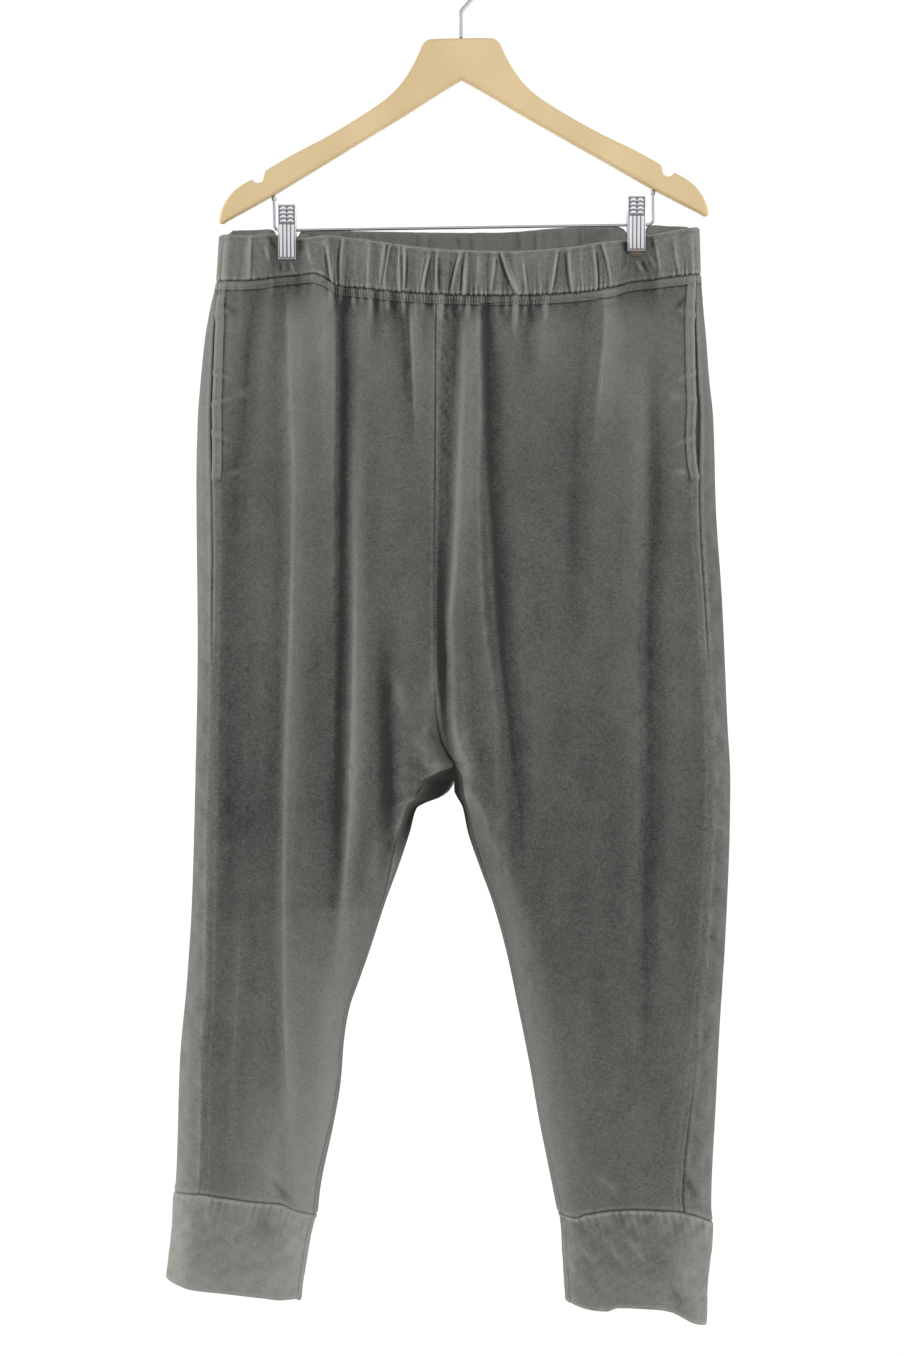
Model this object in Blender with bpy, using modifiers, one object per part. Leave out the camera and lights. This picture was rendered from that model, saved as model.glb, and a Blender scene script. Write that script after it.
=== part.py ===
"""Drop-crotch jersey sweatpants hanging from a wooden hanger with two metal clips.

Frame: +Z up, the garment's front faces -Y, the wearer's right is at -X.
The origin is the inner top of the hook, where a rail would carry it.
Tables and sizes are in millimetres; MM turns them into metres.
Right and left are the wearer's.
"""
import math
from collections import namedtuple

import bpy
import numpy as np

MM = 0.001

# ---- driving dimensions, millimetres ------------------------------------------------------------
CLOTH = 1.6                 # wall of the jersey panels
BAND_CLOTH = 3.2            # wall of the waistband: two layers and the elastic
CUFF_CLOTH = 2.4            # wall of the double cuffs
FACING_CLOTH = 1.0          # wall of the pocket facings
SEAM_GAP = 0.3              # between pieces that are sewn together
WAIST_GAP = 0.6             # between the panels' top edge and the gathered waistband
FACING_GAP = 0.4            # between a panel's inner skin and the pocket facing
FACING_DIP = 0.6            # the facing lies this much deeper in the opening
SEAM_STRIP = 7.6            # topstitched strip under the waist seam and along the pockets
SEAM_STEP = 1.2             # width of the slope beside that strip
SEAM_RISE = 0.8             # how far the strip stands proud
STRIP_ROUND = 12.0          # it dies away this close to the outer edge
BAND_HEIGHT = 41.0          # of the waistband
BAND_FOLD_FADE = 0.7        # share of the panels' folds lost by the waistband's rim
GARMENT_X = -1.5            # the garment hangs this far off the hook's line

WAIST_SEAM_Z = -300.0       # nominal height of the seam under the waistband
CROTCH_Z = -735.0           # lowest point of the centre-front seam
SEAT_Z = -750.0             # lowest point of the centre-back seam
WAIST_FADE_Z = -420.0       # below this, rows no longer follow the waist seam
CUFF_FADE = 85.0            # above the cuff seam, rows stop following it within this height

CLIP_X = {"right": -155.5, "left": 159.9}   # where the clips pinch the waistband
CLIP_FLAT = 8.0             # half width held flat in a clip
PINCH_DEPTH = 4.3           # half thickness of the pinched waistband

HANGER_THICK = 12.0
HANGER_TILT = 0.9           # degrees; the wearer's left end hangs higher
HOOK_WIRE = 3.6
HOOK_INNER_RADIUS = 20.0
NECK_TOP_Z = -78.0
BAR_WIRE = 2.6

Height = namedtuple("Height", "z value")
Depth = namedtuple("Depth", "z edge front_swell back_swell round_x")
Inner = namedtuple("Inner", "z x y inset")
Fold = namedtuple("Fold", "name z x height low_side high_side")
Gather = namedtuple("Gather", "rim_x seam_x height")


def table(kind, *rows):
    """Each row of numbers as a named tuple of the given kind."""
    return [kind(*row) for row in rows]


# Outer edge of each half, waist rim to cuff hem: height and x.
OUTER = {
    "right": table(Height, (-250, -217.2), (-298, -220.2), (-323, -225.6), (-350, -230.1), (-387, -233.8),
                   (-423, -236.5), (-480, -237.8), (-620, -236.6), (-749, -238.7), (-857, -241.9),
                   (-930, -246.4), (-1002, -252.8), (-1110, -256.4), (-1124, -259.2), (-1147, -260.0),
                   (-1183, -263.6), (-1200, -265.6)),
    "left": table(Height, (-245, 217.4), (-292, 218.6), (-320, 220.5), (-350, 223.3), (-387, 226.0),
                  (-423, 229.6), (-500, 232.0), (-586, 237.7), (-694, 242.3), (-749, 245.0),
                  (-794, 244.5), (-893, 240.5), (-966, 235.9), (-1038, 232.3), (-1134, 228.0),
                  (-1148, 229.4), (-1206, 225.1), (-1240, 223.7)),
}

# Side seam: how far it lies in front of the outer edge.
SIDE_SEAM = {
    "right": table(Height, (-298, 2.5), (-323, 5), (-350, 8), (-387, 11), (-440, 14), (-490, 16.5),
                   (-540, 16.8), (-586, 15.8), (-640, 14.9), (-770, 15), (-870, 17), (-944, 20.5),
                   (-1041, 23.6), (-1125, 24.5)),
    "left": table(Height, (-292, 4.5), (-320, 7), (-350, 9.5), (-400, 12), (-440, 14.5), (-495, 17.2),
                  (-560, 18.6), (-640, 17.6), (-690, 16.6), (-770, 18.3), (-860, 19.1), (-948, 20.3),
                  (-998, 22.2), (-1083, 27.2), (-1140, 28)),
}

# Pocket opening: how far the front panel's edge stands back from the side seam.
POCKET_SLIT = {
    "right": table(Height, (-314, 0), (-345, 2.3), (-440, 2.3), (-466, 1.4), (-478, 0)),
    "left": table(Height, (-308, 0), (-340, 2.0), (-400, 3.5), (-440, 5.0), (-463, 3.0), (-478, 0)),
}
POCKET_ROWS = (-325, -475)  # first and last row of the panels beside the opening

# Centre-front seam down to the crotch point.
CENTRE_FRONT = table(Height, (-300, -20.0), (-350, -21.1), (-495, -22.0), (-640, -22.9), (-681, -21.5),
                     (-708, -17.5), (-723, -11.1), (-735, -4.0), (-750, -4.8))
# Centre-back seam.
CENTRE_BACK = table(Height, (-290, -1.0), (-600, -2.0), (-750, -4.8))

# Inner fold of each leg below the crotch: height, x, y, and how far the inseam lies in from it.
INNER = {
    "right": table(Inner, (-735, -4.0, -10, 0), (-743, -4.4, -2, 20), (-750, -4.8, 6, 27),
                   (-758, -9.0, 8, 27), (-764, -17.0, 8, 22), (-769, -30.0, 8, 14), (-774, -38.5, 8, 8),
                   (-795, -44.5, 6, 10), (-825, -54.5, 3, 7), (-857, -66.3, 1, 3), (-905, -82.0, 0, 3),
                   (-930, -90.8, 0, 3), (-955, -99.5, 0, 3), (-984, -104.3, 0, 3), (-1020, -107.1, 0, 3),
                   (-1055, -113.0, 0, 3), (-1110, -126.1, 0, 3), (-1141, -129.3, 0, 3),
                   (-1165, -135.1, 0, 3), (-1218, -142.4, 0, 3)),
    "left": table(Inner, (-735, -4.0, -10, 0), (-743, -4.4, -2, 5), (-750, -4.8, 6, 7),
                  (-758, -4.6, 8, 8), (-764, -2.0, 8, 6.5), (-769, 1.0, 8, 5), (-774, 3.2, 8, 4),
                  (-795, 7.6, 5, 4), (-825, 17.8, 2, 3), (-857, 29.6, 1, 3), (-905, 43.0, 0, 3),
                  (-955, 53.5, 0, 3), (-1005, 63.5, 0, 3), (-1055, 72.2, 0, 3), (-1110, 84.8, 0, 3),
                  (-1140, 90.4, 0, 3), (-1174, 92.9, 0, 3), (-1218, 95.7, 0, 3)),
}

# Half depth of the hollow garment: at the edges, the swell added mid-front and mid-back, and how
# wide the rounding of the outer edge is.
DEPTHS = table(Depth, (-245, 15, 15, 7, 11), (-300, 19, 13, 8, 13), (-360, 27, 7, 6, 18),
               (-450, 34, 3, 3, 22), (-600, 37, 0, 0, 24), (-740, 37, 0, 0, 26), (-860, 35, 0, 0, 27),
               (-1000, 31, 0, 0, 28), (-1120, 27, 0, 0, 29), (-1240, 25, 0, 0, 29))
SWELL_REACH = 165.0         # the swell ends this far from the middle
INNER_ROUND = {"right": table(Height, (-735, 26), (-900, 28), (-1240, 29)),
               "left": table(Height, (-735, 14), (-850, 26), (-1240, 29))}
RECESS_TOP_Z = -640.0       # the centre-front seam starts to draw back here
BACK_RECESS_TOP_Z = -665.0

# Where the clips pinch the cloth together: strength and half width by height.
PINCH_STRENGTH = table(Height, (-282, 1.0), (-300, 0.8), (-335, 0.4), (-400, 0.1), (-450, 0.0))
PINCH_WIDTH = table(Height, (-282, 13), (-340, 24))

# Lines across the body: x and height on the front and on the back.
RIM_FRONT = table(Height, (-217, -256.5), (-190, -257.5), (-172, -255), (-156, -257), (-140, -259),
                  (-118, -258), (-98, -260.5), (-73, -264.5), (-41, -269.8), (-8, -273), (41, -274),
                  (76, -271.5), (100, -269), (133, -263), (150, -260), (160, -257), (183, -254.5),
                  (200, -252), (217, -249.5))
RIM_BACK = table(Height, (-217, -256.5), (-205, -249), (-176, -248.5), (-166, -256), (-146, -256.5),
                 (-136, -248.5), (-60, -249.5), (30, -250), (100, -246), (140, -245), (150, -255),
                 (169, -255), (179, -245), (205, -245.5), (217, -249.5))
SEAM_FRONT = table(Height, (-222, -298.5), (-202, -299.5), (-178, -297), (-162, -294), (-144, -292.5),
                   (-134, -292.3), (-124, -295), (-116, -300.5), (-110, -304.5), (-97, -306),
                   (-49, -311.5), (8, -314.5), (50, -314.3), (100, -311), (122, -308), (138, -304.5),
                   (158, -298.5), (183, -296.5), (208, -294), (219, -292))
SEAM_BACK = table(Height, (-222, -298.5), (-150, -296), (0, -297), (150, -293), (219, -292))
CUFF_FRONT = {
    "right": table(Height, (-259, -1118.6), (-236, -1118.5), (-214, -1121.5), (-187, -1125),
                   (-161, -1127), (-148, -1132.5), (-139, -1136), (-129, -1140)),
    "left": table(Height, (90, -1137.8), (97, -1140), (104, -1140.5), (114, -1136.5), (154, -1132.3),
                  (194, -1134), (208, -1137), (220, -1141.5), (229, -1147)),
}
CUFF_BACK = {
    "right": table(Height, (-259, -1118.6), (-195, -1126), (-129, -1140)),
    "left": table(Height, (90, -1137.8), (160, -1136), (229, -1147)),
}
HEM_FRONT = {
    "right": table(Height, (-266, -1197), (-254, -1201), (-242, -1204.5), (-208, -1208.6),
                   (-161, -1213.8), (-148, -1215), (-142, -1218)),
    "left": table(Height, (95, -1218), (119, -1223), (132, -1224), (142, -1221), (177, -1222.5),
                  (189, -1224.5), (200, -1229.5), (210, -1235), (224, -1240)),
}
HEM_BACK = {
    "right": table(Height, (-266, -1197), (-205, -1212), (-142, -1218)),
    "left": table(Height, (95, -1218), (160, -1226), (224, -1240)),
}

# Folds of the front, each a soft ridge (height above 0) or valley down the cloth.
FRONT_FOLDS = table(
    Fold,
    ("outer valley", (-300, -393, -473, -590, -760, -930), (-184, -192, -200, -206, -207, -207),
     (-5, -8, -8, -6, -5, 0), 12, 9),
    ("thigh ridge", (-300, -327, -420, -550, -760, -912, -1040, -1118),
     (-158, -156, -152, -152, -157, -160, -154, -154), (1, 6, 8, 7, 6, 6, 4, 1), 9, 16),
    ("clip bulge", (-300, -330, -420, -520), (-124, -122, -121, -120), (7, 8, 5, 0), 18, 12),
    ("step crease", (-300, -350, -404, -600, -857, -930), (-101, -101, -105, -106, -106, -108),
     (-8, -9, -7, -6, -5, 0), 6, 9),
    ("inner ridge", (-400, -550, -857, -900), (-95, -96, -96, -97), (0, 3, 3.5, 0), 6, 9),
    ("rise valley", (-560, -622, -794, -850), (-61, -61, -62, -66), (0, -4, -4, 0), 12, 12),
    ("centre channel", (-520, -600, -640, -700, -735), (-17, -17.5, -16.5, -14, -5),
     (0, -4, -9, -8, 0), 7, 5),
    ("middle fold, right edge", (-320, -352, -425, -496, -570, -626, -672, -729, -790),
     (6, 4.3, 0.5, 0.5, -4.5, -8, -8, 2.5, 12), (0, 3, 6, 6, 7, 8, 9, 7, 0), 5, 12),
    ("middle fold, left edge", (-320, -344, -506, -597, -654, -718, -780, -900),
     (22, 21.4, 18.7, 22.4, 31.4, 35, 40.5, 55), (0, 3, 6, 6, 6, 6, 5, 0), 12, 7),
    ("beside the middle fold", (-320, -400, -550, -712, -911, -960), (28, 28, 32, 46, 54, 58),
     (-2, -4, -5, -5, -4, 0), 7, 12),
    ("hip ridge", (-316, -420, -549, -596, -688, -800), (135.5, 150, 163.5, 163.5, 158, 156),
     (2, 4, 5, 5, 4, 0), 22, 9),
    ("hip valley", (-340, -387, -513, -600, -948, -1040), (175, 174, 174, 171, 168, 170),
     (0, -4, -6, -6, -4, 0), 8, 14),
)
# Folds of the back, of the same kinds.
BACK_FOLDS = table(
    Fold,
    ("right outer ridge", (-300, -420, -700, -1100), (-178, -184, -190, -200), (2, 5, 4, 1), 12, 16),
    ("right valley", (-300, -420, -700, -930), (-140, -146, -150, -160), (-4, -7, -5, 0), 11, 11),
    ("right seat ridge", (-300, -430, -640, -800), (-98, -100, -104, -112), (3, 6, 5, 0), 12, 14),
    ("right inner valley", (-300, -430, -640, -760), (-58, -60, -62, -66), (-3, -5, -5, 0), 12, 12),
    ("centre seat fold", (-310, -480, -660, -720), (-14, -16, -20, -22), (2, 5, 6, 0), 12, 9),
    ("left inner valley", (-300, -430, -640, -780), (22, 24, 26, 34), (-3, -6, -6, 0), 10, 12),
    ("left seat ridge", (-300, -430, -640, -860), (64, 62, 66, 80), (3, 6, 6, 0), 14, 12),
    ("left valley", (-300, -420, -700, -960), (112, 116, 118, 126), (-3, -6, -6, 0), 12, 12),
    ("left outer ridge", (-300, -420, -700, -1090), (160, 166, 172, 178), (2, 6, 5, 1), 14, 12),
)
# Short gathers under the waist seam, either side of the centre.
LITTLE_FOLDS = 9
LITTLE_FOLD_FIRST_X = -82.0
LITTLE_FOLD_PITCH = 16.5
LITTLE_FOLD_HEIGHT = 2.2
LITTLE_FOLD_WIDTH = 5.0
LITTLE_FOLD_FOOT_Z = -385.0

# Gathers of the waistband's front: x at the rim, x at the seam, height.
FRONT_GATHERS = table(
    Gather, (-209.5, -212.0, 1.6), (-188.5, -189.4, 2.6), (-174.0, -168.6, 2.0), (-152.5, -152.0, 1.5),
    (-140.0, -143.0, 1.2), (-120.4, -114.7, 3.2), (-100.0, -102.5, 3.0), (-91.0, -92.0, 1.0),
    (-80.4, -80.8, 1.8), (-65.8, -70.9, 2.6), (-58.6, -59.0, 1.2), (-51.0, -50.5, 2.6),
    (-43.0, -43.5, 1.8), (-35.0, -36.5, 1.0), (-25.5, -30.0, 2.4), (-18.8, -18.6, 2.6),
    (-8.5, -10.5, 1.0), (0.0, -4.0, 1.6), (6.4, 4.6, 2.4), (17.0, 16.0, 1.2), (29.4, 26.7, 2.4),
    (37.5, 49.0, 2.8), (58.0, 60.0, 1.2), (71.0, 70.0, 1.0), (87.5, 82.0, 2.4), (97.7, 100.5, 2.4),
    (109.0, 110.5, 1.2), (121.5, 122.0, 2.4), (129.0, 134.0, 2.2), (143.5, 146.0, 1.4),
    (162.6, 166.0, 1.8), (175.3, 181.0, 2.4), (192.8, 197.4, 1.8), (208.5, 209.5, 1.2))
BACK_GATHERS = 31
BACK_GATHER_PITCH = 13.6
Sway = namedtuple("Sway", "size turn")      # size and radians from one gather to the next
BACK_GATHER_SHIFT = Sway(2.0, 2.3)
BACK_GATHER_LEAN = Sway(1.2, 1.1)
BACK_GATHER_HEIGHT = 1.9
BACK_GATHER_CHANGE = Sway(0.9, 1.7)
GATHER_FOOT = 0.36          # the foot of a gather, as a share of the way to the next one
GATHER_SINK = 0.35          # how far the foot lies in, as a share of the gather's height
# Rows of the waistband: share of the way from seam to rim, and strength of the gathers.
BAND_ROWS = table(namedtuple("BandRow", "up strength"), (0.0, 0.35), (0.27, 0.9), (0.66, 1.0), (1.0, 0.55))
EDGE_STEPS = (0.0, 1.0, 2.8)   # distances of the columns round the band's outer edges
EDGE_FOOT = 3.6             # foot of the gather next to the outer edge
BEYOND_X = 300.0            # beyond the ends of every line across the body
BACK_TO_FRONT = slice(-2, 0, -1)    # columns in reverse order without the two ends

# Heights of the rows of the panels.
PANEL_ROWS = [-300, -300 - SEAM_STRIP, -300 - SEAM_STRIP - SEAM_STEP, -325, -375, -425, -475, -530,
              -590, -650, -695, CROTCH_Z, -743, SEAT_Z, -758, -764, -769, -774, -795, -825, -857,
              -905, -955, -1005, -1055, -1128]
FRONT_COLUMNS = 20
BACK_COLUMNS = 16
WRAP_COLUMNS = 2
BACK_EVEN_SHARE = 0.5       # this share of the back's columns is spread as a power of their number
BACK_EVEN_POWER = 1.35
GUSSET_COLUMNS = 3
GUSSET_HOLLOW_FOOT_Z = -830.0   # the cloth under the crotch is hollow above this
GUSSET_HOLLOW_FADE = 50.0
CUFF_ROWS = (0.0, 0.35, 0.75, 1.0)
CUFF_PASSES = 3             # x and height of a cuff's row depend on each other: found in passes
MITRE_LIMIT = 0.5           # least share at which a corner is drawn in

SIDES = ("right", "left")
SIGN = {"right": -1.0, "left": 1.0}


# ---- curves -------------------------------------------------------------------------------------
def smooth(at, knots, values):
    """Cubic through the knots that never overshoots them.

    The slope at a knot is the harmonic mean of the slopes beside it, and nought at a turn.
    """
    order = np.argsort(knots)
    knots = np.asarray(knots, float)[order]
    values = np.asarray(values, float)[order]
    step = np.diff(knots)
    slope = np.diff(values) / step
    product = slope[:-1] * slope[1:]
    total = slope[:-1] + slope[1:]
    turn = product <= 0
    middle = np.where(turn, 0.0, 2.0 * product / np.where(turn, 1.0, total))
    tangent = np.concatenate([slope[:1], middle, slope[-1:]])
    at = np.asarray(at, float)
    i = np.clip(np.searchsorted(knots, at) - 1, 0, len(step) - 1)
    t = np.clip((at - knots[i]) / step[i], 0.0, 1.0)
    keep = (1.0 + 2.0 * t) * (1.0 - t) ** 2
    lead = t * (1.0 - t) ** 2 * step[i]
    trail = t * t * (t - 1.0) * step[i]
    return (keep * values[i] + (1.0 - keep) * values[i + 1] + lead * tangent[i]
            + trail * tangent[i + 1])


def column(rows, name, at):
    """A named column of a table, read smoothly at the given heights (or x)."""
    return smooth(at, [row[0] for row in rows], [getattr(row, name) for row in rows])


def value(rows, at):
    """The value column of a table of heights."""
    return column(rows, "value", at)


def ease(t):
    """0 to 1 with flat ends."""
    t = np.clip(t, 0.0, 1.0)
    return t * t * (3.0 - 2.0 * t)


def rounding(distance, radius):
    """Quarter ellipse: 0 at the edge, 1 from one radius inwards."""
    t = 1.0 - np.clip(distance / radius, 0.0, 1.0)
    return np.sqrt(np.clip(1.0 - t * t, 0.0, 1.0))


# ---- the hanging cloth ----------------------------------------------------------------------------
def fold_height(folds, x, z):
    """Sum of the folds at (x, z): each a bell across, as high as its table says down its length.

    Above the waist seam they go on into the waistband and fade.
    """
    total = np.zeros(np.broadcast(x, z).shape)
    fade = 1.0 - BAND_FOLD_FADE * ease((z - WAIST_SEAM_Z) / BAND_HEIGHT)
    z = np.minimum(z, WAIST_SEAM_Z)
    for fold in folds:
        middle = smooth(z, fold.z, fold.x)
        height = np.where(z <= max(fold.z), smooth(z, fold.z, fold.height), 0.0)
        offset = x - middle
        width = np.where(offset < 0, fold.low_side, fold.high_side)
        total = total + height * np.exp(-(offset / width) ** 2)
    return fade * total


def little_folds(x, z):
    """Short gathers that run out below the waist seam."""
    fade = ease((z - LITTLE_FOLD_FOOT_Z) / (WAIST_SEAM_Z - LITTLE_FOLD_FOOT_Z))
    total = np.zeros(np.broadcast(x, z).shape)
    for k in range(LITTLE_FOLDS):
        offset = x - (LITTLE_FOLD_FIRST_X + LITTLE_FOLD_PITCH * k)
        total = total + LITTLE_FOLD_HEIGHT * np.exp(-(offset / LITTLE_FOLD_WIDTH) ** 2)
    return fade * total


def pinch(x, z):
    """1 where a clip holds front and back together, fading sideways and down."""
    spread = value(PINCH_WIDTH, z)
    total = np.zeros(np.broadcast(x, z).shape)
    for centre in CLIP_X.values():
        away = np.maximum(np.abs(x - centre) - CLIP_FLAT, 0.0)
        total = total + np.exp(-(away / spread) ** 2)
    return np.minimum(total, 1.0) * value(PINCH_STRENGTH, z)


def depth(x, z, edge_distance, face):
    """Distance of the cloth from the mid plane, with the outer rounding and the clips' pinch."""
    swell = np.cos(0.5 * np.pi * np.clip(np.abs(x) / SWELL_REACH, 0.0, 1.0)) ** 2
    folds = FRONT_FOLDS if face == "front" else BACK_FOLDS
    full = column(DEPTHS, "edge", z) + swell * column(DEPTHS, face + "_swell", z)
    full = full + fold_height(folds, x, z)
    if face == "front":
        full = full + little_folds(x, z)
    full = full * rounding(edge_distance, column(DEPTHS, "round_x", z))
    held = pinch(x, z)
    return full * (1.0 - held) + np.minimum(full, PINCH_DEPTH) * held


def inner_fold(side, z):
    """x and y of a leg's inner fold, which is the centre seam above the crotch."""
    x = np.where(z > CROTCH_Z, value(CENTRE_FRONT, z), column(INNER[side], "x", z))
    return x, column(INNER[side], "y", z)


def front_y(side, x, z, edge_distance, fold_x):
    """y of the front cloth: full depth, drawn back to the inner fold from above the crotch down."""
    full = depth(x, z, edge_distance, "front")
    drawn = ease((RECESS_TOP_Z - z) / (RECESS_TOP_Z - CROTCH_Z))
    away = 1.0 - rounding(np.abs(x - fold_x), value(INNER_ROUND[side], z))
    inner_y = column(INNER[side], "y", z)
    return -full + (full + inner_y) * drawn * away


def back_y(side, x, z, edge_distance, fold_x):
    """y of the back cloth, drawn in to the seat seam and to the leg's inner fold."""
    full = depth(x, z, edge_distance, "back")
    drawn = ease((BACK_RECESS_TOP_Z - z) / (BACK_RECESS_TOP_Z - SEAT_Z))
    away = 1.0 - rounding(np.abs(x - fold_x), value(INNER_ROUND["right"], z))
    inner_y = np.where(z > SEAT_Z, column(INNER[side], "y", SEAT_Z), column(INNER[side], "y", z))
    return full - (full - inner_y) * drawn * away


def bent_z(side, x, row_z, face):
    """Height of a row at x: rows near the waist or the cuff follow the seam there."""
    waist = SEAM_FRONT if face == "front" else SEAM_BACK
    cuff = CUFF_FRONT[side] if face == "front" else CUFF_BACK[side]
    cuff_z = PANEL_ROWS[-1]
    near_waist = ease((row_z - WAIST_FADE_Z) / (WAIST_SEAM_Z - SEAM_STRIP - WAIST_FADE_Z))
    near_cuff = ease((cuff_z + CUFF_FADE - row_z) / CUFF_FADE)
    return row_z + near_waist * (value(waist, x) - WAIST_SEAM_Z) + near_cuff * (value(cuff, x) - cuff_z)


def grid_points(x, y, z):
    """Stack three arrays into points."""
    return np.stack(np.broadcast_arrays(x, y, z), axis=-1)


def edges_of_rows(side, face):
    """x of the outer edge and of the inner fold for every row, at the heights the rows have there."""
    rows = np.asarray(PANEL_ROWS, float)
    outer = value(OUTER[side], rows)
    outer = value(OUTER[side], bent_z(side, outer, rows, face))
    inner, _ = inner_fold(side, rows)
    inner_z = bent_z(side, inner, rows, face)
    if face == "front":
        inner, _ = inner_fold(side, inner_z)
    else:
        inner = np.where(inner_z > SEAT_Z, value(CENTRE_BACK, inner_z), column(INNER[side], "x", inner_z))
    return outer, inner


def strip_rise(rows, edge_distance):
    """How far the topstitched strip under the waist seam stands proud."""
    strip = (PANEL_ROWS[0] - rows) < SEAM_STRIP + 0.5 * SEAM_STEP
    return np.where(strip, SEAM_RISE, 0.0) * rounding(edge_distance, STRIP_ROUND)


def pocket_rise(rows, from_edge, slit):
    """How far the turned edge of the pocket stands proud."""
    beside = (slit > 0.0) & (from_edge < SEAM_STRIP + 0.5 * SEAM_STEP)
    return np.where(beside, SEAM_RISE, 0.0)


def front_grid(side):
    """Points of a front panel, rows down and columns from the side seam to the middle."""
    rows = np.asarray(PANEL_ROWS, float)[:, None]
    outer, inner = (edge[:, None] for edge in edges_of_rows(side, "front"))
    sign = SIGN[side]
    slit = value(POCKET_SLIT[side], rows)
    start = outer - sign * (value(SIDE_SEAM[side], rows) + slit)
    end = inner + sign * column(INNER[side], "inset", rows)
    strip = np.array([0.0, SEAM_STRIP, SEAM_STRIP + SEAM_STEP])
    share = np.linspace(0.0, 1.0, FRONT_COLUMNS + 1)[1:]
    near = start - sign * strip
    far = near[:, -1:] + (end - near[:, -1:]) * share
    x = np.concatenate([near, far], axis=1)
    z = bent_z(side, x, rows, "front")
    y = front_y(side, x, z, np.abs(x - outer), inner)
    y = y - strip_rise(rows, np.abs(x - outer)) - pocket_rise(rows, np.abs(x - start), slit)
    return grid_points(x, y, z)


def wrap_grid(side):
    """The strip of the back panel that comes round to the front, side seam to outer edge."""
    rows = np.asarray(PANEL_ROWS, float)[:, None]
    outer, inner = (edge[:, None] for edge in edges_of_rows(side, "front"))
    share = np.linspace(1.0, 0.0, WRAP_COLUMNS + 1) ** 2
    x = outer - SIGN[side] * value(SIDE_SEAM[side], rows) * share
    z = bent_z(side, x, rows, "front")
    y = front_y(side, x, z, np.abs(x - outer), inner)
    y = y - strip_rise(rows, np.abs(x - outer))
    return grid_points(x, y, z)


def back_grid(side):
    """Points of a back panel, rows down and columns from the outer edge to the middle."""
    rows = np.asarray(PANEL_ROWS, float)[:, None]
    outer, inner = (edge[:, None] for edge in edges_of_rows(side, "back"))
    share = np.linspace(0.0, 1.0, BACK_COLUMNS + 1)
    clustered = 0.5 * (1.0 - np.cos(np.pi * share))
    closed = ease((BACK_RECESS_TOP_Z - rows) / (BACK_RECESS_TOP_Z - SEAT_Z))
    half = 1.0 - np.cos(0.5 * np.pi * share)
    spread = half + (clustered - half) * closed
    even = share ** BACK_EVEN_POWER
    spread = spread + (even - spread) * BACK_EVEN_SHARE
    x = outer + (inner - outer) * spread
    z = bent_z(side, x, rows, "back")
    y = back_y(side, x, z, np.abs(x - outer), inner)
    y = y + strip_rise(rows, np.abs(x - outer))
    return grid_points(x, y, z)


def gusset_grid(side):
    """Back cloth that comes under the crotch, from the inner fold to the inseam.

    Each row is a quadratic curve. Under the crotch it runs back first and is hollow; further
    down it is the round inner side of the leg.
    """
    first = PANEL_ROWS.index(CROTCH_Z)
    rows = np.asarray(PANEL_ROWS[first:], float)[:, None]
    inseam = front_grid(side)[first:, -1:, :]
    fold_x, fold_y = inner_fold(side, rows)
    fold_z = bent_z(side, fold_x, rows, "front")
    fold = grid_points(fold_x, fold_y, fold_z)
    hollow = ease((rows - GUSSET_HOLLOW_FOOT_Z) / GUSSET_HOLLOW_FADE)
    corner_x = fold_x + (inseam[..., 0] - fold_x) * hollow
    corner_y = inseam[..., 1] + (fold_y - inseam[..., 1]) * hollow
    corner = grid_points(corner_x, corner_y, 0.5 * (fold_z + inseam[..., 2]))
    t = np.linspace(0.0, 1.0, GUSSET_COLUMNS + 1)[None, :, None]
    return (1.0 - t) ** 2 * fold + 2.0 * t * (1.0 - t) * corner + t * t * inseam


def quads(rows, columns, flip):
    """Vertex numbers of the faces of a grid."""
    number = np.arange(rows * columns).reshape(rows, columns)
    corners = [number[:-1, :-1], number[:-1, 1:], number[1:, 1:], number[1:, :-1]]
    if flip:
        corners.reverse()
    return np.stack([corner.ravel() for corner in corners], axis=1)


def join_grids(grids, flips):
    """Several grids as one list of points and faces."""
    points = []
    faces = []
    start = 0
    for grid, flip in zip(grids, flips):
        rows, columns = grid.shape[:2]
        points.append(grid.reshape(-1, 3))
        faces.append(quads(rows, columns, flip) + start)
        start += rows * columns
    return np.concatenate(points), np.concatenate(faces)


def weld(points):
    """Number of the first point at the same place, for every point."""
    _, first, same = np.unique(np.round(points, 4), axis=0, return_index=True, return_inverse=True)
    return first[same.ravel()]


def point_normals(points, faces):
    """Outward direction at every point, shared between pieces that meet there."""
    same = weld(points)
    across = points[faces[:, 2]] - points[faces[:, 0]]
    down = points[faces[:, 3]] - points[faces[:, 1]]
    face_normal = np.cross(across, down)
    total = np.zeros_like(points)
    for corner in range(4):
        np.add.at(total, same[faces[:, corner]], face_normal)
    normal = total[same]
    return normal / np.linalg.norm(normal, axis=1, keepdims=True)


# ---- solids -------------------------------------------------------------------------------------
def material(name, colour, roughness, metallic=0.0):
    """Principled material in one colour."""
    made = bpy.data.materials.new(name)
    made.use_nodes = True
    shader = made.node_tree.nodes["Principled BSDF"]
    shader.inputs["Base Color"].default_value = (*colour, 1.0)
    shader.inputs["Roughness"].default_value = roughness
    shader.inputs["Metallic"].default_value = metallic
    made.diffuse_color = (*colour, 1.0)
    return made


def tidy_faces(faces, same):
    """Faces on welded points, with repeated corners and collapsed faces left out."""
    tidy = []
    for face in same[faces].tolist():
        kept = [corner for k, corner in enumerate(face) if corner != face[k - 1]]
        if len(kept) > 2:
            tidy.append(kept)
    return tidy


def boundary_edges(faces):
    """Directed edges that only one face has."""
    edges = [(a, b) for face in faces for a, b in zip(face, face[1:] + face[:1])]
    present = set(edges)
    return [(a, b) for a, b in edges if (b, a) not in present]


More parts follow.
